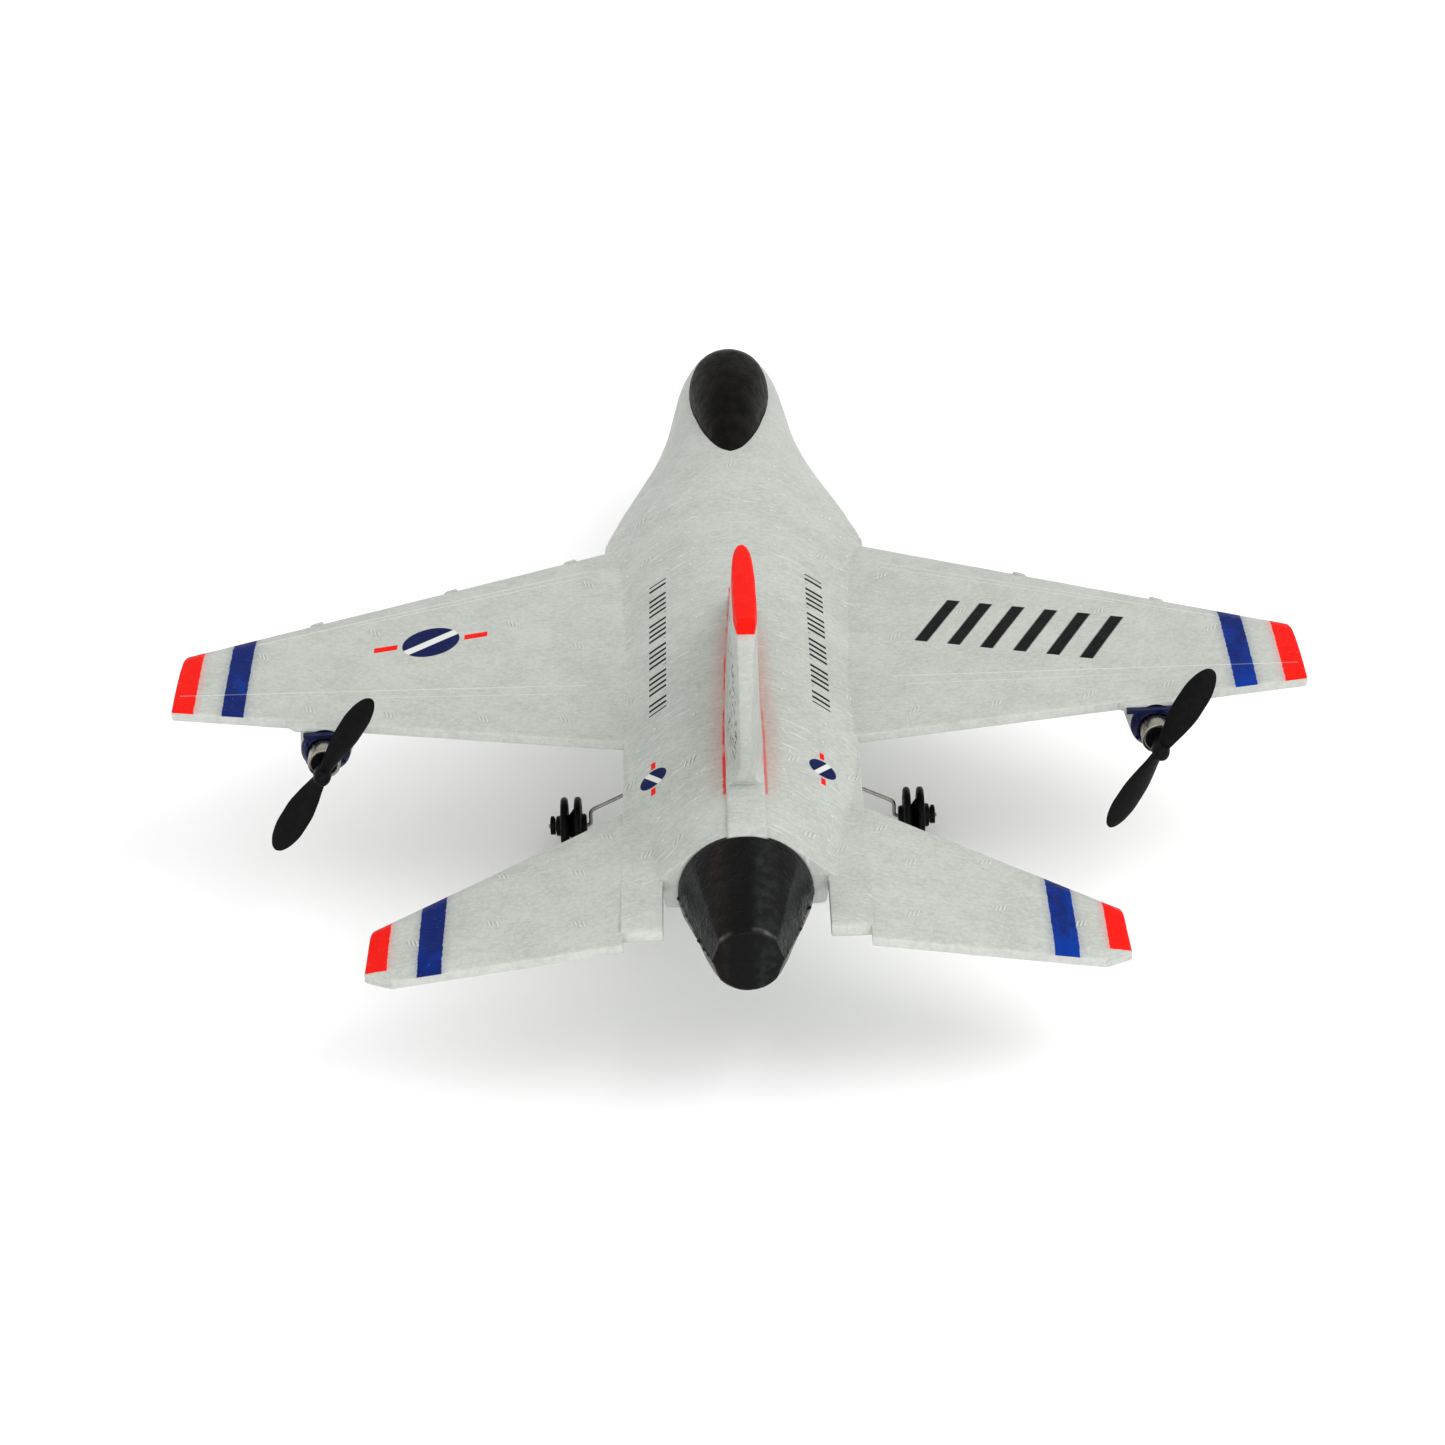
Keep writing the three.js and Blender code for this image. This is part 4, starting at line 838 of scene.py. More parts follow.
def fin_ring(z, grow=0.0, height=None):
    if height is None:
        height = max(0.0, (z - FIN["skin_z"]) / (FIN["tip_z"] - FIN["skin_z"]))
    rear = FIN["root_rear"] + (FIN["tip_rear"] - FIN["root_rear"]) * height - grow
    front = FIN["root_front"] + (FIN["tip_front"] - FIN["root_front"]) * height + grow
    thickness, rear_thickness = FIN_THICKNESS(height)
    half, rear_half = thickness / 2 + grow, rear_thickness / 2 + grow
    chord = front - rear
    shares = [[place, foot + (tip - foot) * height]
              for (place, foot), (_, tip) in zip(FIN_FOOT, FIN_TIP)]
    rows = [[0, rear_half ** 2], *[[place, (half * share) ** 2] for place, share in shares],
            [1 - 3 / chord, (half * (0.47 + 0.17 * height)) ** 2],
            [1 - 0.8 / chord, (half * (0.26 + 0.09 * height)) ** 2], [1, 0]]
    along = (1 - np.cos(np.linspace(0, math.pi, 42))) / 2
    widths = np.sqrt(np.maximum(Rows(rows)(along)[0], 0))
    lean = FIN_OFFSET + FIN_LEAN * max(height, 0)
    edge = 0.35
    right = []
    for u, width in zip(along, widths):
        y = rear + u * chord
        short = edge * max(0.0, 1 - (y - rear) / edge) ** 2
        right.append((max(width - short, 0.0), y))
    shift = [lean - FIN_YAW * height * (y - rear) for _, y in right]
    ring = [(s + x, y, z) for s, (x, y) in zip(shift, right)]
    return ring + [(s - x, y, z) for s, (x, y) in reversed(list(zip(shift[:-1], right[:-1])))]


def fin_slot():
    floor, top = FIN["root_z"] - GAP, FIN["skin_z"] + 17
    half = FIN["block_half"] - 0.1
    slot = loft("slot", [fin_ring(floor, -0.1, 0), fin_ring(top, -0.1, 0)])
    seat = block((FIN_OFFSET - half, BODY_END - 2, floor),
                 (FIN_OFFSET + half, FIN["block_front"] - 0.1, top))
    return [slot, seat]


# [y, half width, height above the wing plane]
CANOPY = [[126.4, 3.2, 12.4], [122, 5.6, 14.6], [115, 8.2, 18.2], [106, 10.7, 22.8],
          [97, 11.6, 25.9], [88, 10.7, 26], [80.6, 9.5, 24.8], [74, 8.4, 22.9],
          [68, 7.1, 20.6], [61, 5.1, 17.6], [58.2, 3.9, 16.5]]
CANOPY_ENDS = [[128.3, 11], [55.6, 14.6]]
CANOPY_BELT, CANOPY_FLOOR = 12, 7


def canopy_rings(grow=0.0):
    """Sections of the egg-shaped canopy. Squared values keep both ends round."""
    (front, front_z), (rear, rear_z) = CANOPY_ENDS

    def end_line(y):
        return rear_z + (y - rear) / (front - rear) * (front_z - rear_z)

    rows = Rows([[front, 0, 0], [rear, 0, 0],
                 *[[y, width ** 2, (top - end_line(y)) ** 2] for y, width, top in CANOPY]])
    rings = []
    ends = rows.place[-1] - 0.02 + grow, rows.place[0] + 0.02 - grow
    for share in (1 - np.cos(np.linspace(0, math.pi, 90))) / 2:
        y = ends[0] + (ends[1] - ends[0]) * share
        inside = min(max(y, rows.place[0] + 0.02), rows.place[-1] - 0.02)
        width2, rise2 = rows(inside)
        width = math.sqrt(max(width2, 0.0)) + grow
        top = end_line(y) + math.sqrt(max(rise2, 0.0)) + grow
        belt = min(CANOPY_BELT, top - 1)
        angles = np.linspace(0, math.pi, 56)
        dome = [(width * math.cos(a), y, WING_PLANE + belt + (top - belt) * math.sin(a))
                for a in angles]
        floor = WING_PLANE + CANOPY_FLOOR - grow
        rings.append([(width * 0.9, y, floor), *dome, (-width * 0.9, y, floor)])
    return rings


# ----------------------------------------------------------- raised markings

class Relief:
    """Small raised shapes that follow a surface, gathered into one solid."""

    def __init__(self, surface):
        self.surface, self.points, self.faces = surface, [], []

    def prism(self, outline, height, inset=0.75):
        """Raises a convex outline, given as (x, y) corners."""
        base, size = len(self.points), len(outline)
        outline = np.array(outline, float)
        middle = outline.mean(0)
        for lift, share in ((-0.35, 1.0), (height * 0.5, 1.0), (height, inset)):
            for x, y in middle + (outline - middle) * share:
                self.points.append((x, y, float(self.surface(x, y)) + lift))
        for level in (0, size):
            for i in range(size):
                j = (i + 1) % size
                self.faces.append(tuple(base + level + k for k in (i, j, j + size, i + size)))
        self.faces.append(tuple(range(base, base + size)))
        self.faces.append(tuple(range(base + 2 * size, base + 3 * size)))

    def pip(self, x, y):
        """A small round pip."""
        turns = [2 * math.pi * k / 9 for k in range(9)]
        self.prism([(x + 0.45 * math.cos(a), y + 0.45 * math.sin(a)) for a in turns], 0.22, 0.5)

    def vent(self, x, y):
        """A mould vent: three short slanted bars."""
        half, reach, slant = 0.22, 1.2, 0.32
        for k in (-1, 0, 1):
            cx, cy = x + k * 1.05, y + 0.45 * k
            self.prism([(cx - half - slant, cy - reach), (cx + half - slant, cy - reach),
                        (cx + half + slant, cy + reach), (cx - half + slant, cy + reach)], 0.24)

    def ridge(self, path, width, height):
        """A long low rib along a path of (x, y) points."""
        base = len(self.points)
        path = np.array(path, float)
        ahead = np.gradient(path, axis=0)
        aside = np.stack([-ahead[:, 1], ahead[:, 0]], 1)
        aside *= (width / 2) / np.linalg.norm(aside, axis=1)[:, None]
        for (x, y), (ax, ay) in zip(path, aside):
            z = float(self.surface(x, y))
            section = [(-1, -0.3), (-1, 0.01), (-0.4, height), (0.4, height), (1, 0.01), (1, -0.3)]
            self.points += [(x + ax * k, y + ay * k, z + lift) for k, lift in section]
        for r in range(len(path) - 1):
            for i in range(6):
                j = (i + 1) % 6
                corners = (r * 6 + i, r * 6 + j, (r + 1) * 6 + j, (r + 1) * 6 + i)
                self.faces.append(tuple(base + k for k in corners))
        last = base + 6 * (len(path) - 1)
        self.faces += [tuple(range(base, base + 6)), tuple(range(last, last + 6))]

    def solid(self):
        return mesh_object("relief", self.points, self.faces)


PIP_PITCH = 9.4
BODY_VENTS = [(0, 48), (26, 33), (24, 8), (13, -101), (24, -128), (29, -60), (28, -97), (16, -130)]


def printed(x, y):
    """Whether a printed row of bars or a disc lies at a place on the body."""
    near = abs(abs(x) - BODY_BARS["x"]) < 4.5
    return near and (-110 < y < -91 or -73 < y < -5)


def body_relief():
    """Rows of pips over the upper skin, left out under the print, and some vents."""
    relief = Relief(upper_skin)
    for row in range(20):
        y = 52 - row * PIP_PITCH
        for column in range(1, 4):
            x = 2.5 + column * PIP_PITCH - (row % 2) * 1.2
            for side in (-1, 1):
                px = side * (x + RANDOM.uniform(-0.6, 0.6))
                py = y + RANDOM.uniform(-0.8, 0.8)
                if abs(px) < float(half_width(py)) - 3 and not printed(px, py):
                    relief.pip(px, py)
    for x, y in BODY_VENTS:
        relief.vent(x, y)
        relief.vent(-x, y)
    return relief.solid()


# -------------------------------------------------------- wing and tailplane

AEROFOIL = [[0.12, 0.4], [0.3, 0.85], [0.5, 1], [0.7, 0.98], [0.85, 0.84]]
AEROFOIL_NOSE = [[0.94, 0.6], [0.985, 0.32]]
EDGE_ROUNDING, TIP_ROUNDING = 0.6, 0.8


class Panel:
    """The right half of a wing or tailplane. Places on it are shares t of the span
    and u of the chord, counted from the rear edge."""

    def __init__(self, root_x, tip_x, root_y, tip_y, root_z, tip_z, thickness, rear):
        self.root_x, self.tip_x = root_x, tip_x
        self.root_y, self.tip_y = np.array(root_y, float), np.array(tip_y, float)
        self.root_z, self.tip_z = root_z, tip_z
        self.rear = rear
        self.root_rows, self.tip_rows = (self.profile(full) for full in thickness)

    def profile(self, full):
        extra = (full - self.rear) / 2
        rows = [[0, self.rear / 2], *[[u, self.rear / 2 + s * extra] for u, s in AEROFOIL],
                *[[u, s * full / 2] for u, s in AEROFOIL_NOSE], [1, 0]]
        return Rows([[u, half ** 2] for u, half in rows])

    def half(self, t, u):
        squared = (1 - t) * self.root_rows(u)[0] + t * self.tip_rows(u)[0]
        return np.sqrt(np.maximum(squared, 0))

    def edges(self, t):
        return (1 - t) * self.root_y + t * self.tip_y

    def point(self, t, u, side, inset=0.0):
        root_y = self.root_y[0] + u * (self.root_y[1] - self.root_y[0])
        rear, front = self.edges(t) + np.array([inset, -inset])
        x = (1 - t) * self.root_x(root_y) + t * self.tip_x(u)
        y = rear + u * (front - rear)
        near = max(0.0, 1 - (y - rear) / EDGE_ROUNDING)
        half = float(self.half(t, u)) - inset - EDGE_ROUNDING * (1 - math.sqrt(1 - near ** 2))
        half = max(half, 0.0 if u == 1 else 0.03)
        return float(x), float(y), (1 - t) * self.root_z + t * self.tip_z + side * half

    def ring(self, t, inset=0.0):
        places = (1 - np.cos(np.linspace(0, math.pi, 58))) / 2
        bottom = [self.point(t, u, -1, inset) for u in places]
        top = [self.point(t, u, 1, inset) for u in places[:-1][::-1]]
        return bottom + top

    def locate(self, x, y):
        """The shares t and u of a place in plan."""
        t = u = 0.5
        for _ in range(12):
            root_y = self.root_y[0] + u * (self.root_y[1] - self.root_y[0])
            near = float(self.root_x(root_y))
            t = (x - near) / (float(self.tip_x(u)) - near)
            rear, front = self.edges(t)
            u = min(max((y - rear) / (front - rear), 0.0), 1.0)
        return t, u

    def top(self, x, y):
        t, u = self.locate(abs(x), y)
        return (1 - t) * self.root_z + t * self.tip_z + float(self.half(t, u))

    def rings(self, stations):
        span = float(self.tip_x(0.5)) - float(self.root_x(self.root_y.mean()))
        last = 1 - TIP_ROUNDING / span
        rings = [self.ring(t * last) for t in np.linspace(0, 1, stations)]
        for out, back in quarter_turn(0.2, 6):
            rings.append(self.ring(last + (1 - last) * out, TIP_ROUNDING * back))
        return rings


WING_TIP, WING_RISE, WING_THICKNESS = 145, 11, (6, 3.6)
WING = Panel(lambda y: half_width(y) - 4, lambda u: WING_TIP - 0.7 * u ** 3, (-77.4, 27),
             (-74, -45), WING_PLANE - 0.4, WING_PLANE + WING_RISE, WING_THICKNESS, 2.8)
TAIL = Panel(lambda y: 29.6, lambda u: 92 - 6.5 * max(0.0, 1 - u / 0.14) - 0.5 * u,
             (-165.4, -106), (-162.3, -140), PARTING, PARTING - 10.7, (4, 3), 2.6)
EDGE_START = (35, 25)                     # where the wing's front edge leaves the body
SWEEP = (-45 - EDGE_START[1]) / (WING_TIP - EDGE_START[0])
WING_VENTS = [(110, -70), (89.5, -70.8), (40, 2), (42, -32), (66, -70), (45, -69), (60, -22),
              (96, -30), (124, -45)]
TAIL_VENTS = [(59.3, -127.5), (40.4, -132), (61.2, -147.5), (40, -154), (34, -118), (80.5, -150)]
NUBS = {"left": (45.6, 77.4, 112), "right": (77.4, 112)}
# [x, y, radius] of the crumbs missing from the left tailplane's outer rear corner
TIP_BITES = [(86.4, -162.3, 0.8), (88.4, -161.3, 0.7), (90.2, -160.5, 0.6)]


def front_edge(x):
    return EDGE_START[1] + SWEEP * (abs(x) - EDGE_START[0])


def wing_relief():
    """Two mould lines near the rear edge, two creases near the front, and vents."""
    relief = Relief(WING.top)
    span = np.linspace(40, 143.5, 60)
    relief.ridge([(x, -46.2 - 0.142 * x) for x in span], 0.45, 0.08)
    relief.ridge([(x, -50.6 - 0.13 * x) for x in span[2:34]], 0.35, 0.04)
    relief.ridge([(x, front_edge(x) - 11.8 + 0.066 * (x - 40)) for x in span[:50]], 0.42, 0.09)
    relief.ridge([(x, front_edge(x) - 14.8 + 0.09 * (x - 40)) for x in span[:36]], 0.38, 0.07)
    for x, y in WING_VENTS:
        relief.vent(x, y)
    return relief.solid()


def tail_relief():
    relief = Relief(TAIL.top)
    for x, y in TAIL_VENTS:
        relief.vent(x, y)
    return relief.solid()


def front_nub(x):
    """A stub of the mould's inlet on the wing's front edge."""
    y = front_edge(x)
    z = WING_PLANE + WING_RISE * (x - EDGE_START[0]) / (WING_TIP - EDGE_START[0])
    ring = [(-1.4, -0.8), (0.3, -0.8), (0.6, -0.4), (0.6, 0.3), (0.3, 0.7), (-1.4, 0.9)]
    rings = [[(x + dx, y + SWEEP * dx + py * scale, z + pz * scale) for py, pz in ring]
             for dx, scale in ((-1.8, 0.4), (-1.2, 1.0), (1.2, 1.0), (1.8, 0.4))]
    return loft("nub", rings)


# --------------------------------------------------------------- motor units

MOTOR = {"x": 106, "z": WING_PLANE + 1.8, "sleeve": 5.7, "pod_front": -36, "pod_rear": -76.5,
         "pod_end": 6.5}
LEAD = {"radius": 0.6, "root_y": -36, "pod_y": -57.5, "body_z": PARTING - 0.8}
CAN_HOLE_END, MOUNT_BORE = -81.7, 4.5


def motor_pod():
    """The foam pod under the wing, which tapers to the mount behind it."""
    front, rear, radius = MOTOR["pod_front"], MOTOR["pod_rear"], MOTOR["pod_end"]
    profile = [(0, front), (2.4, front - 2.5), (4.8, front - 8), (6.8, front - 17),
               (7.5, front - 24), (7.3, front - 31), (radius, rear), (0, rear)]
    keep = [(r, y) for r, y in rounded(profile, 4, 7) if y > rear + 3 and r > 0.01]
    end = [(radius - 0.3 * back, rear + 0.3 * (1 - out)) for out, back in quarter_turn(0, 5)]
    profile = [(0, front), *keep, *end, (0, rear)]
    return turned("pod", profile, "Y", (MOTOR["x"], 0, MOTOR["z"]), 72)


def rear_step():
    """Foam that reaches back over the motor mount from the wing's rear edge."""
    outline = [(4.5, -0.4), (-1.6, -0.5), (-2.3, -0.9), (-2.5, -1.6), (-2.2, -2.3), (4.5, -2.8)]
    rings = []
    for x, reach in ((96.8, 0.2), (98.4, 1.0), (113.4, 1.0), (115.6, 0.2)):
        rear, _ = WING.edges(WING.locate(x, -74)[0])
        top = WING.top(x, rear + 3)
        rings.append([(x, rear + (dy * reach if dy < 0 else dy), top + dz)
                      for dy, dz in outline])
    return loft("step", rings)


def lead_groove():
    """The groove under the wing that the motor lead runs in."""
    half = LEAD["radius"] + GAP
    root_y, pod_y, body_z = LEAD["root_y"], LEAD["pod_y"], LEAD["body_z"]
    entry_x = float(half_width(root_y)) + GAP + 2
    pod_x = MOTOR["x"] - MOTOR["sleeve"] - 2
    share = (pod_x - entry_x + 2) / (WING_TIP - entry_x + 2)
    thickness = WING_THICKNESS[0] - share * (WING_THICKNESS[0] - WING_THICKNESS[1])
    underside = WING_PLANE + share * WING_RISE - thickness / 2
    route = [(entry_x - 6, root_y, body_z), (entry_x, root_y, body_z),
             (pod_x, pod_y, underside + half), (MOTOR["x"] - 1, pod_y, MOTOR["z"])]
    section = [(-half, -4), (half, -4), (half, half), (-half, half)]
    return loft("groove", [[(x, y + dy, z + dz) for dy, dz in section] for x, y, z in route])


def mirror(ob):
    """Turns a right-hand shape into the left-hand one."""
    for vertex in ob.data.vertices:
        vertex.co.x = -vertex.co.x
    ob.data.flip_normals()
    return ob


def make_wing(side, materials):
    wing = finish_with(loft(f"{side}_wing_foam", WING.rings(90)), materials)
    relief = finish_with(wing_relief(), materials, 1)
    waver(wing, 0.05, 7)
    bore = rod("Y", (MOTOR["x"], 0, MOTOR["z"]), MOTOR["sleeve"] + GAP, LEAD["pod_y"] + 2.5,
               MOTOR["pod_rear"] - 20, 64)
    pocket = room_for("wing_spar", across=(20, node_box("wing_spar")[1][0] + 1))
    nubs = [front_nub(x) for x in NUBS[side]]
    combine(wing, add=[motor_pod(), rear_step(), relief, *nubs], cut=[bore, pocket, lead_groove()])
    if side == "left":
        mirror(wing)
    piece(wing, "airframe", nodes=[f"{side}_wing"])


def make_tailplane(side, materials):
    tail = finish_with(loft(f"{side}_tailplane_foam", TAIL.rings(50)), materials)
    waver(tail, 0.05, 6)
    combine(tail, add=[finish_with(tail_relief(), materials, 1)])
    if side == "left":
        combine(tail, cut=[rod("Z", (x, y, 0), radius, 20, 50, 14) for x, y, radius in TIP_BITES])
        mirror(tail)
    piece(tail, "airframe", nodes=[f"{side}_tailplane"])


def make_can(side, looks):
    """The motor's can, with a black boss in its hollow rear face."""
    low, high = node_box(f"{side}_motor_can")
    x, _, z = node_centre(f"{side}_motor_shaft")
    front, rear, wall = high[1], low[1], 0.8
    rim, floor = rear + wall, rear + 2 * wall
    profile = [(0, front), (4.2, front), (4.2, rim), (3.3, rim), (3.3, floor), (0, floor)]
    can = turned(f"{side}_motor_can_shell", rounded(profile, 0.3, 4), "Y", (x, 0, z), 72)
    profile = [(0, floor + 0.4), (3.5, floor + 0.4), (3.5, floor - 0.2), (1.7, floor - 0.2),
               (1.5, rear), (0, rear)]
    boss = turned("boss", profile, "Y", (x, 0, z), 40)
    finishes = looks["can"], looks["prop"]
    finish_with(can, finishes)
    shaft_hole = rod("Y", (x, 0, z), 0.8, rear - 1, CAN_HOLE_END)
    combine(can, add=[finish_with(boss, finishes, 1)], cut=[shaft_hole])
    piece(can, "airframe", nodes=[f"{side}_motor_can"], sharp=50)


def mount_plate(x, z, flange):
    """The flat plate on the flange, which reaches further inwards than outwards."""
    outwards = 1 if x > 0 else -1
    ends = sorted((x + 5.2 * outwards, x - 7.6 * outwards))
    plate = block((ends[0], flange - 2.6, z + 4.5), (ends[1], flange - 1.15, z + 5.6))
    return combine(plate, cut=[rod("Y", (x, 0, z), MOUNT_BORE, flange - 4, flange, 48)])


def mount_rib(x, z, angle, start, end):
    """A short rib along the mount, at an angle around the motor."""
    across, up = math.cos(angle), math.sin(angle)
    section = [(4.8, -0.35), (5.7, -0.35), (5.7, 0.35), (4.8, 0.35)]
    return loft("rib", [[(x + r * across - s * up, y, z + r * up + s * across) for r, s in section]
                        for y in (start, end)])


def make_mount(side, looks):
    """The blue mount: a sleeve in the pod, a ribbed flange behind it and a flat top."""
    low, high = node_box(f"{side}_motor_mount")
    x, _, z = node_centre(f"{side}_motor_shaft")
    flange, bore, sleeve = MOTOR["pod_rear"] - GAP, MOUNT_BORE, MOTOR["sleeve"]
    profile = [(bore, high[1]), (sleeve, high[1]), (sleeve, flange), (6.4, flange),
               (6.3, flange - 1.0), (5.6, flange - 1.9), (4.95, low[1] + 0.6),
               (bore, low[1] + 0.6), (bore, high[1])]
    mount = turned(f"{side}_motor_mount_sleeve", rounded_ring(profile, 0.3, 4), "Y", (x, 0, z), 72)
    ribs = [mount_rib(x, z, math.radians(30 + 60 * k), flange - 0.6, low[1] + 0.5)
            for k in range(6)]
    combine(mount, add=[mount_plate(x, z, flange), *ribs])
    # nothing of the flange stands above the plate or ahead of it
    above = block((x - 9, low[1] - 1, z + 5.62), (x + 9, flange, z + 9))
    ahead = block((x - 9, flange - 1.1, z + 4.4), (x + 9, flange + 0.1, z + 9))
    combine(mount, cut=[above, ahead])
    piece(mount, "airframe", looks["blue"], [f"{side}_motor_mount"], 50)


def make_shaft(side, looks):
    low, high = node_box(f"{side}_motor_shaft")
    radius = (high[0] - low[0]) / 2
    profile = [(0, low[1]), (radius * 0.7, low[1]), (radius, low[1] + 0.15), (radius, high[1]),
               (0, high[1])]
    x, _, z = node_centre(f"{side}_motor_shaft")
    shaft = turned(f"{side}_motor_shaft_pin", profile, "Y", (x, 0, z), 32)
    piece(shaft, f"{side}_rotor", looks["wire"], [f"{side}_motor_shaft"])


# [radius, chord, thickness, pitch in degrees] along a propeller blade
BLADE = Rows([[1.0, 3.4, 2.1, 36], [4, 4.6, 1.4, 30], [8, 6.2, 1.1, 25], [13, 7.4, 0.9, 21],
              [18, 7.3, 0.8, 18], [22, 6.0, 0.7, 16], [24.6, 3.9, 0.55, 15], [25.7, 2.1, 0.4, 15],
              [26, 0.8, 0.3, 15]])
REST_ANGLE = {"left": 58, "right": 62}    # degrees that the blades stand at
HUB_FRONT = -86.2


def propeller_blade(hand):
    """Sections of one blade. Hand is 1 or -1: the two propellers turn opposite ways."""
    rings = []
    places = np.concatenate([np.linspace(1.0, 24, 46), np.linspace(24.2, 26, 12)])
    for radius in places:
        chord, thickness, pitch = map(float, BLADE(radius))
        twist = math.radians(pitch) * hand
        ring = []
        for k in range(28):
            angle = 2 * math.pi * k / 28
            along = chord / 2 * math.cos(angle)
            across = thickness / 2 * math.sin(angle) + 0.05 * chord * (math.cos(angle) ** 2 - 0.5)
            ring.append((radius, along * math.sin(twist) + across * math.cos(twist),
                         along * math.cos(twist) - across * math.sin(twist)))
        rings.append(ring)
    return rings


def make_propeller(side, looks):
    x, _, z = node_centre(f"{side}_motor_shaft")
    y, front = node_box(f"{side}_propeller")[0][1] + 3.5, HUB_FRONT
    hub = [(0, y - 3.5), (1.0, y - 3.45), (1.7, y - 2.9), (2.1, y - 1.9), (2.3, y - 0.6),
           (2.3, y + 0.6), (2.05, y + 1.5), (1.55, y + 1.9), (1.5, y + 2.4), (1.75, y + 2.6),
           (1.75, front - 0.2), (1.6, front), (0, front)]
    prop = turned(f"{side}_propeller_moulding", hub, "Y", (0, 0, 0), 56)
    rings = np.array(propeller_blade(1 if side == "right" else -1)) + np.array((0, y, 0))
    turned_round = rings * np.array((-1, 1, -1))
    shaft_hole = rod("Y", (0, 0, 0), 0.6, -91.5, front + 1, 32)
    combine(prop, add=[loft("blade", rings), loft("blade", turned_round)], cut=[shaft_hole])
    angle = math.radians(REST_ANGLE[side])
    for vertex in prop.data.vertices:
        vx, vz = vertex.co.x, vertex.co.z
        vertex.co.x = vx * math.cos(angle) - vz * math.sin(angle) + x * MM
        vertex.co.z = vx * math.sin(angle) + vz * math.cos(angle) + z * MM
    piece(prop, f"{side}_rotor", looks["prop"], [f"{side}_propeller"], 50)


# -------------------------------------------------------------- landing gear

AXLE_BORE = 0.62
WIRE_RADIUS, WIRE_BEND = 0.5, 1.3


def make_wheel(node, body, looks):
    """Two discs with rounded rims on one hub, joined to it by short cones."""
    x, y, z = node_centre(node)
    low, high = node_box(node)
    half, radius = (high[0] - low[0]) / 2, (high[2] - low[2]) / 2
    disc_side = [(5.3, 0.55), (5.9, 0.9), (radius - 0.75, 0.95), (radius - 0.2, 0.62)]
    profile = [(AXLE_BORE, -half), (2.3, -half), (2.7, -half + 0.3), (2.7, -3.0)]
    for centre in (-1.8, 1.8):
        profile += [(r, centre - off) for r, off in disc_side] + [(radius, centre)]
        profile += [(r, centre + off) for r, off in reversed(disc_side)]
        profile += [(2.9, centre + 0.6), (2.9, centre + 1.2)] if centre < 0 else []
    profile += [(3.1, 3.0), (3.1, half - 0.3), (2.7, half), (AXLE_BORE, half), (AXLE_BORE, -half)]
    profile = [(r, x + place) for r, place in profile]
    wheel = turned(f"{node}_moulding", rounded_ring(profile, 0.25, 3), "X", (0, y, z), 72)
    piece(wheel, body, looks["wheel"], [node], 50)


def make_collar(node, looks):
    """A pressed-on keeper at the end of an axle, with a clamping ear."""
    low, high = node_box(node)
    _, y, z = node_centre(node)
    bore, radius = AXLE_BORE, 2.3
    near, far = low[0] - 0.12, high[0] + 0.12
    profile = [(bore, near), (radius, near), (radius, far), (bore, far), (bore, near)]
    collar = turned(f"{node}_ring", rounded_ring(profile, 0.2, 3), "X", (0, y, z), 40)
    ear = block((low[0] + 0.1, y - 0.45, z + 0.9), (high[0] - 0.1, y + 0.45, z + 2.9))
    combine(collar, add=[ear])
    piece(collar, "airframe", looks["wheel"], [node], 50)


def make_wire(name, node, corners, looks):
    wire = tube(name, corners, WIRE_RADIUS, WIRE_BEND)
    piece(wire, "airframe", looks["wire"], [node], 60)


def make_wires(looks):
    """The main gear's wire, from wheel to wheel, and the nose gear's cranked strut."""
    _, y, z = node_centre("right_wheel")
    axle_end, knee = node_box("main_gear_wire")[1][0], 40.3
    leg = [(14, -53, BELLY + 0.7), (knee, y, 12.3), (knee, y, z), (axle_end, y, z)]
    corners = [(-leg_x, leg_y, leg_z) for leg_x, leg_y, leg_z in reversed(leg)] + leg
    make_wire("main_gear_spring_wire", "main_gear_wire", corners, looks)
    _, y, z = node_centre("nose_wheel")
    low, high = node_box("nose_gear_wire")
    socket_y, crank = 118, 5.2
    corners = [(0, socket_y, high[2]), (0, socket_y, 27), (crank, y, z + 13), (crank, y, z),
               (low[0], y, z)]
    make_wire("nose_gear_spring_wire", "nose_gear_wire", corners, looks)


# ------------------------------------------------------------------- nozzle

NOZZLE = {"z": WING_PLANE - 3.4, "rear": -170, "front": BODY_END - GAP, "spigot": 9, "depth": 4,
          "rear_radius": 8.3, "rounding": 0.9}
NOZZLE_RADIUS = Rows([[NOZZLE["rear"], NOZZLE["rear_radius"]], [-165, 10.2], [-158, 12.4],
                      [-149.8, 14.5], [-143.3, 16.1], [-140.6, 16.5], [-139.8, 16.1]])
FACET = math.radians(38)        # each side has a flat from the seam up to this angle


def nozzle_radius(y, angle):
    """Radius at an angle above the seam, with flats beside it and a wrinkled skin."""
    radius = float(NOZZLE_RADIUS(y)[0])
    turn = min(abs(angle), math.pi - abs(angle))
    if turn < FACET:
        flat = min(1.0, max(0.0, (NOZZLE["front"] - 1 - y) / 14))
        radius *= 1 - flat * (1 - math.cos(FACET / 2) / math.cos(turn - FACET / 2))
    place = Vector((radius * math.cos(angle), y * 0.8, radius * math.sin(angle)))
    lumps = noise.noise(place / 4.2) * 0.12 + noise.noise(place / 1.8) * 0.03
    return radius + lumps * min(1.0, (NOZZLE["front"] - y) / 2)


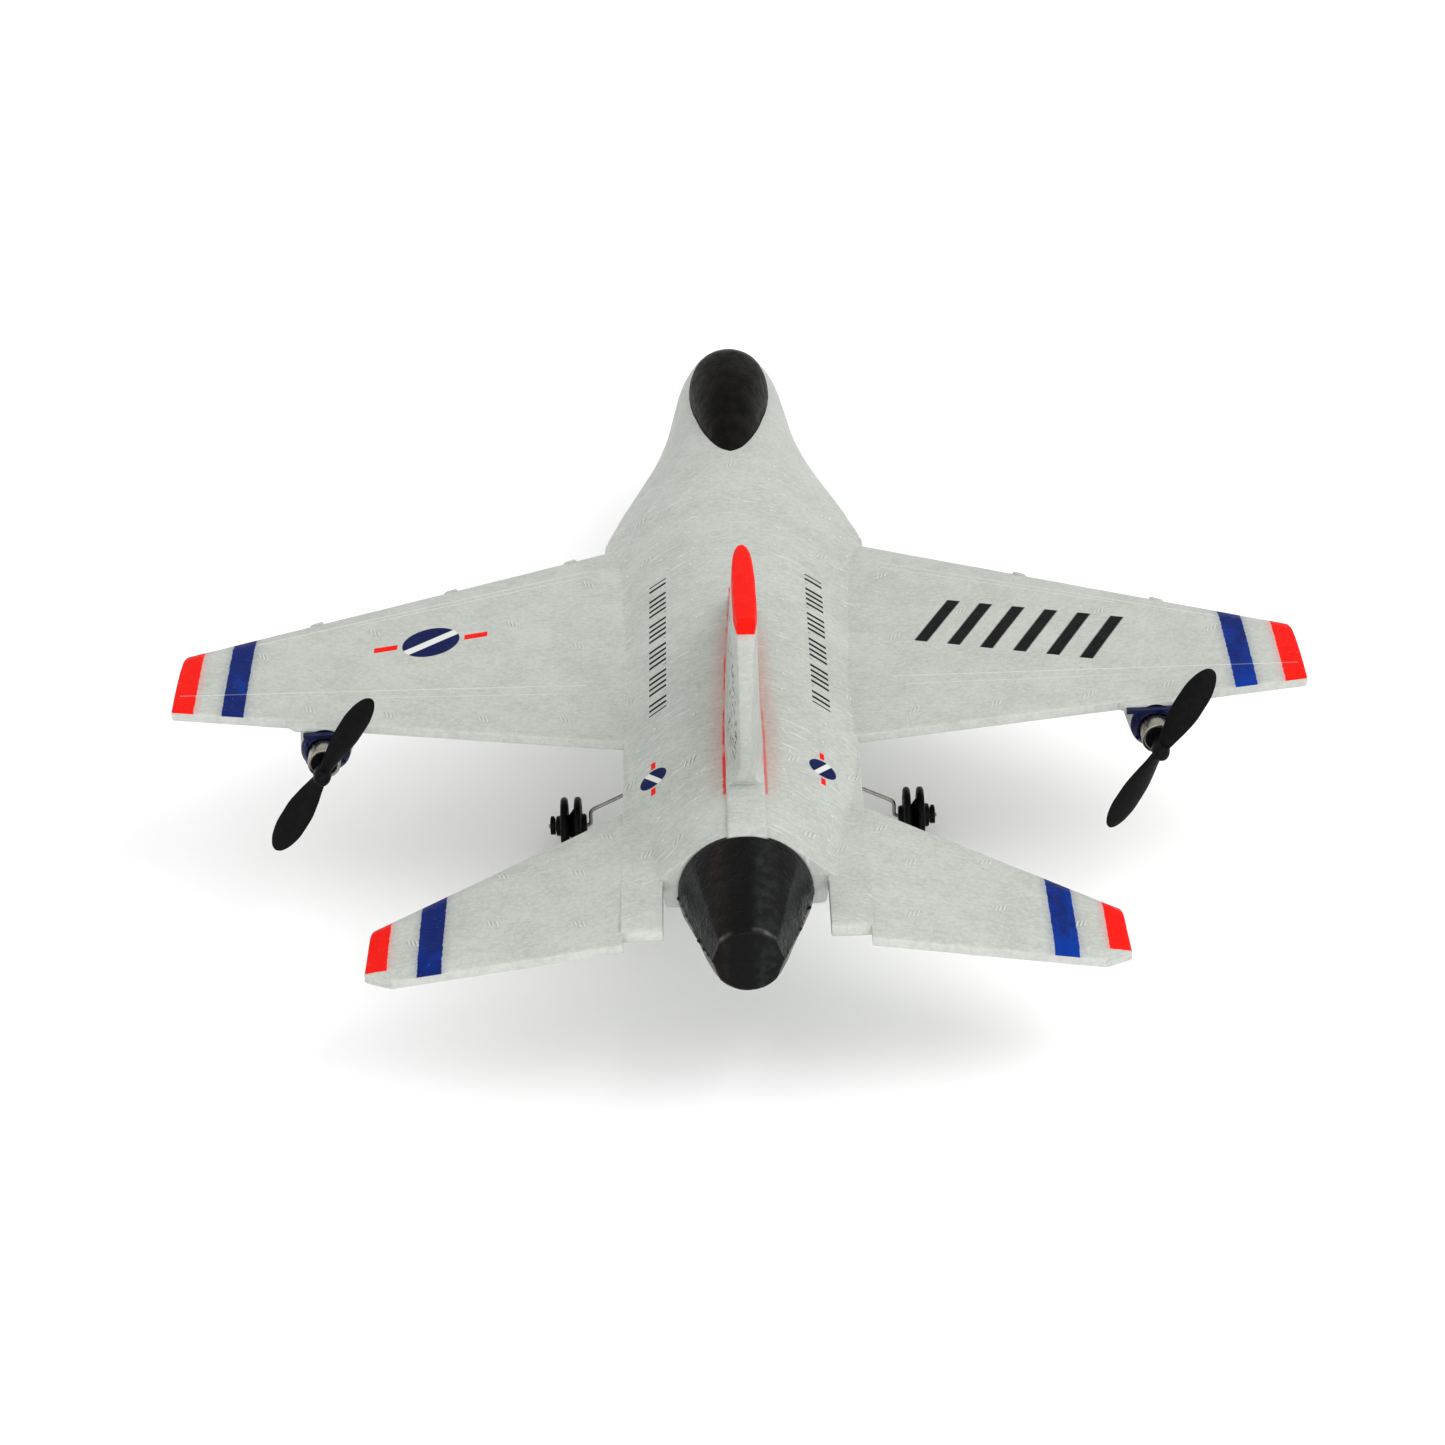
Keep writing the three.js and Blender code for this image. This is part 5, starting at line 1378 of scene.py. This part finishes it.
def nozzle_point(y, angle, sign, seam):
    """A point of the skin. Beside the seam it sticks out in ragged burrs."""
    radius = nozzle_radius(y, sign * angle)
    lip = max(0.0, 1 - min(angle, math.pi - angle) / 0.05)
    burr = lip * max(0.0, noise.noise(Vector((math.cos(angle) * 9, y * 0.55, 3.1))) + 0.12) * 0.9
    return (radius + burr) * math.cos(angle), y, seam + sign * radius * math.sin(angle)


def nozzle_rings(sign, seam):
    """Rings of one half, from its spigot in the body to its rounded rear edge."""
    angles = np.linspace(0, math.pi, 89)
    front, spigot, rounding = NOZZLE["front"], NOZZLE["spigot"], NOZZLE["rounding"]
    rings = []
    for y in (front + NOZZLE["depth"] + GAP, front + 0.01):
        rings.append([(spigot * math.cos(a), y, seam + sign * spigot * math.sin(a)) for a in angles])
    for y in np.linspace(front, NOZZLE["rear"] + rounding, 66):
        rings.append([nozzle_point(y, a, sign, seam) for a in angles])
    for out, back in quarter_turn(0.25, 4):
        y = NOZZLE["rear"] + rounding * (1 - out)
        size = 1 - rounding * back / NOZZLE["rear_radius"]
        rings.append([(x * size, y, seam + (z - seam) * size) for x, _, z in rings[-1]])
    return rings


def make_nozzle(half, material):
    sign = 1 if half == "upper" else -1
    seam = NOZZLE["z"] + sign * 0.02
    rings = nozzle_rings(sign, seam)
    nozzle = loft(f"exhaust_{half}_shell", rings)
    if half == "upper":
        side = FIN["block_half"] + GAP
        recess = block((FIN_OFFSET - side, FIN["block_rear"] - GAP, FIN["root_z"] - GAP),
                       (FIN_OFFSET + side, BODY_END + 6, FIN["block_top"] + 5))
        combine(nozzle, cut=[recess])
    piece(nozzle, "airframe", material, [f"exhaust_nozzle_{half}"], 14)


# ----------------------------------------------------------- body assemblies

def prong(side):
    """The flat tongue beside the nozzle and its root in the body."""
    low, high, rear = PRONG["low"], PRONG["high"], PRONG["rear"]
    middle, half = (low + high) / 2, (high - low) / 2
    turn = np.linspace(-1, 1, 15) * math.pi / 2
    end = [(rear + 1.9 * (1 - math.cos(a)), middle + half * math.sin(a)) for a in turn]
    outline = [(BODY_END - GAP, low), *end, (BODY_END - GAP, high)]
    rings = []
    inner, outer = PRONG["inner"], PRONG["outer"]
    for x, inset in ((inner, 0.5), (inner + 0.15, 0.15), (inner + 0.5, 0), (outer + 0.1, 0)):
        rings.append([(side * x, max(y, rear + inset), middle + (z - middle) * (1 - inset / half))
                      for y, z in outline])
    left, right = sorted((side * inner, side * outer))
    root = block((left, BODY_END - 2, PARTING + 0.1), (right, BODY_END + 10, high))
    return loft("prong", rings), root


def nozzle_socket():
    return rod("Y", (0, 0, NOZZLE["z"]), NOZZLE["spigot"] + GAP, BODY_END - 1, BODY_END + 5, 64)


def make_upper_fuselage(materials):
    body = loft("upper_fuselage_foam", [upper_ring(*station) for station in body_stations()])
    finish_with(body, materials)
    waver(body, 0.05, 8)
    prongs = [part for side in (-1, 1) for part in prong(side)]
    spar = room_for("wing_spar", across=(-60, 60))
    combine(body, add=[*prongs, finish_with(body_relief(), materials, 1)],
            cut=[*fin_slot(), spar, loft("recess", canopy_rings(GAP / 2)), nozzle_socket()])
    piece(body, "airframe", nodes=["upper_fuselage"])


def belly_hollows():
    """Room for the tray, the board, the leads and the landing gear, and the intake."""
    tray_top = node_box("battery_tray")[1][2]
    lead_y = LEAD["root_y"]
    board = block((-12, -44, 35), (12, -12, PARTING + 1))
    battery_lead = block((-2.5, -13, tray_top - 3.7), (2.5, 1, tray_top - 0.3))
    motor_leads = block((-40, lead_y - 1.2, PARTING - 2.6), (40, lead_y + 1.2, PARTING + 1))
    gear_wire = block((-20, -54, BELLY - 1), (20, -52, BELLY + 1.4))
    screws = [rod("Z", (x, -49.5, 0), 1.1, BELLY - 1, BELLY + 6.3) for x in (-6, 6)]
    socket = room_for("nose_gear_socket", floor=node_box("nose_gear_socket")[0][2] - 20)
    intake = block((-12, 75.2, BELLY + 3), (12, 84, BELLY + 12))
    return [room_for("battery_tray", floor=BELLY - 1), board, battery_lead, motor_leads, gear_wire,
            *screws, socket, intake]


def make_lower_fuselage(material):
    body = loft("lower_fuselage_foam", [lower_ring(*station) for station in body_stations()])
    waver(body, 0.05, 8)
    combine(body, cut=[*belly_hollows(), nozzle_socket()])
    piece(body, "airframe", material, ["lower_fuselage"])


def make_fin(material):
    skin, tip, rounding = FIN["skin_z"], FIN["tip_z"], FIN["tip_rounding"]
    heights = [FIN["root_z"], *np.linspace(skin, skin + FIN["fillet"] * 1.2, 9),
               *np.linspace(skin + 4, tip - rounding, 44)]
    rings = [fin_ring(z) for z in heights]
    for out, back in quarter_turn(0.2, 5):
        rings.append(fin_ring(tip - rounding * (1 - out), -rounding * back))
    fin = loft("tail_fin_foam", rings)
    waver(fin, 0.06, 6)
    side = FIN["block_half"]
    foot = block((FIN_OFFSET - side, FIN["block_rear"], FIN["root_z"]),
                 (FIN_OFFSET + side, FIN["block_front"], FIN["block_top"]))
    combine(fin, add=[soften_edges(foot, 0.9)])
    piece(fin, "airframe", material, ["tail_fin"])


def make_canopy(material):
    canopy = loft("canopy_shell", canopy_rings())
    waver(canopy, 0.05, 4)
    piece(canopy, "airframe", material, ["canopy"], 50)


# --------------------------------------------------- softened CAD mouldings

def softened(node, width, body, material):
    """A copy of a CAD node with rounded edges."""
    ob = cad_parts[node]
    copy = new_object(f"{node}_moulding", ob.data.copy())
    bm = bmesh.new()
    bm.from_mesh(copy.data)
    bmesh.ops.remove_doubles(bm, verts=bm.verts, dist=1e-7)
    bmesh.ops.dissolve_limit(bm, angle_limit=math.radians(2), verts=bm.verts, edges=bm.edges)
    bm.to_mesh(copy.data)
    bm.free()
    soften_edges(copy, width, 35, 2)
    piece(copy, body, material, [node], 30)


# [edge rounding, body] of the white mouldings that are softened
SOFTENED = {
    "main_gear_clip": (0.25, "airframe"), "nose_gear_socket": (0.3, "airframe"),
    "battery_tray": (0.12, "airframe"), "battery_door": (0.15, "hatch"),
}
# the look of each CAD node that stays as it is
KEPT = {
    "wing_spar": "carbon", "battery_door_pin": "wire", "lipo_battery": "film",
    "battery_plug": "white", "battery_lead": "red", "flight_control_board": "board",
    "left_motor_end_cap": "white", "right_motor_end_cap": "white",
    "left_motor_lead": "red", "right_motor_lead": "red",
    "left_clip_screw": "wire", "right_clip_screw": "wire",
}


def dress_nodes(looks):
    """Finishes for the small mouldings and for the CAD nodes that stay."""
    for node, (width, body) in SOFTENED.items():
        softened(node, width, body, looks["white"])
    for node, look in KEPT.items():
        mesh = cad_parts[node].data
        mesh.materials.clear()
        mesh.materials.append(looks[look])


def make_looks():
    return {
        "blue": plastic("blue_moulding", (0.0016, 0.004, 0.03), 0.3, (0.003, 0.009, 0.06), 0.15),
        "can": metal("plated_can", (0.3, 0.29, 0.25), 0.24, (1, 0.08, 1)),
        "wire": metal("drawn_wire", (0.3, 0.29, 0.26), 0.34),
        "prop": plastic("prop_moulding", (0.003, 0.003, 0.0035), 0.42, (0.006, 0.006, 0.007)),
        "wheel": plastic("wheel_moulding", (0.002, 0.002, 0.0025), 0.4, (0.006, 0.006, 0.007)),
        "white": plastic("white_moulding", (0.6, 0.6, 0.56), 0.42, (0.52, 0.51, 0.47), 0.2),
        "red": plastic("red_insulation", (0.42, 0.012, 0.01), 0.38, (0.5, 0.03, 0.02)),
        "carbon": carbon_strip(), "board": circuit_board(), "film": shrink_film(),
    }


# -------------------------------------------------------------------- studio

CAMERA = {
    "target": Vector((-0.004558, -0.040, 0.029539)), "distance": 1.01956,
    "azimuth": 0.101, "elevation": 31.361, "roll": -1.803, "lens": 95.37,
}


def place_camera():
    azimuth, elevation, roll = (math.radians(CAMERA[k]) for k in ("azimuth", "elevation", "roll"))
    level_share = math.cos(elevation)
    back = Vector((math.sin(azimuth) * level_share, -math.cos(azimuth) * level_share,
                   math.sin(elevation)))
    level = Vector((math.cos(azimuth), math.sin(azimuth), 0))
    above = back.cross(level)
    right = level * math.cos(roll) + above * math.sin(roll)
    up = above * math.cos(roll) - level * math.sin(roll)
    data = bpy.data.cameras.new("camera")
    data.lens, data.sensor_width = CAMERA["lens"], 36
    data.clip_start, data.clip_end = 0.05, 20
    camera = new_object("camera", data)
    turn = Matrix((right, up, back)).transposed().to_4x4()
    camera.matrix_world = Matrix.Translation(CAMERA["target"] + back * CAMERA["distance"]) @ turn
    SCENE.camera = camera


def add_light(name, place, aim, size, power):
    data = bpy.data.lights.new(name, "AREA")
    data.energy, data.size = power, size
    lamp = new_object(name, data)
    lamp.location = place
    lamp.rotation_mode = "QUATERNION"
    lamp.rotation_quaternion = (Vector(aim) - Vector(place)).to_track_quat("-Z", "Y")


def make_studio():
    half = 6000
    corners = [(-half, -half, 0), (half, -half, 0), (half, half, 0), (-half, half, 0)]
    floor = mesh_object("floor", corners, [(0, 1, 2, 3)])
    floor.data.materials.append(floor_paint())
    world = bpy.data.worlds.new("studio")
    SCENE.world = world
    world.use_nodes = True
    sky = world.node_tree.nodes["Background"]
    sky.inputs[0].default_value = (1, 1, 1, 1)
    sky.inputs[1].default_value = 1.0
    add_light("key", (0.85, -0.3, 1.15), (0, -0.02, 0), 0.9, 6.5)
    add_light("fill", (0.1, -1.5, 0.45), (0, -0.1, 0.05), 1.2, 8)
    SCENE.view_settings.view_transform = "Standard"


# ------------------------------------------------------------------ assembly

place_camera()
make_studio()
LOOKS = make_looks()
make_upper_fuselage((foam_body(), foam_raised("body")))
make_lower_fuselage(foam_plain())
make_fin(foam_fin())
make_canopy(canopy_lacquer())
WING_FOAM = foam_wing(), foam_raised("wing", [(WING_RED, SIGNAL_RED), (WING_BLUE, DEEP_BLUE)])
TAIL_FOAM = foam_tail(), foam_raised("tail", [(TAIL_RED, SIGNAL_RED), (TAIL_BLUE, DEEP_BLUE)])
BLACK_LACQUER = nozzle_lacquer()
for nozzle_half in ("upper", "lower"):
    make_nozzle(nozzle_half, BLACK_LACQUER)
for wing_side in ("left", "right"):
    make_wing(wing_side, WING_FOAM)
    make_tailplane(wing_side, TAIL_FOAM)
    make_can(wing_side, LOOKS)
    make_mount(wing_side, LOOKS)
    make_shaft(wing_side, LOOKS)
    make_propeller(wing_side, LOOKS)
    make_wheel(f"{wing_side}_wheel", f"{wing_side}_main_wheel", LOOKS)
    make_collar(f"{wing_side}_wheel_collar", LOOKS)
make_wheel("nose_wheel", "nose_roller", LOOKS)
make_collar("nose_wheel_collar", LOOKS)
make_wires(LOOKS)
dress_nodes(LOOKS)
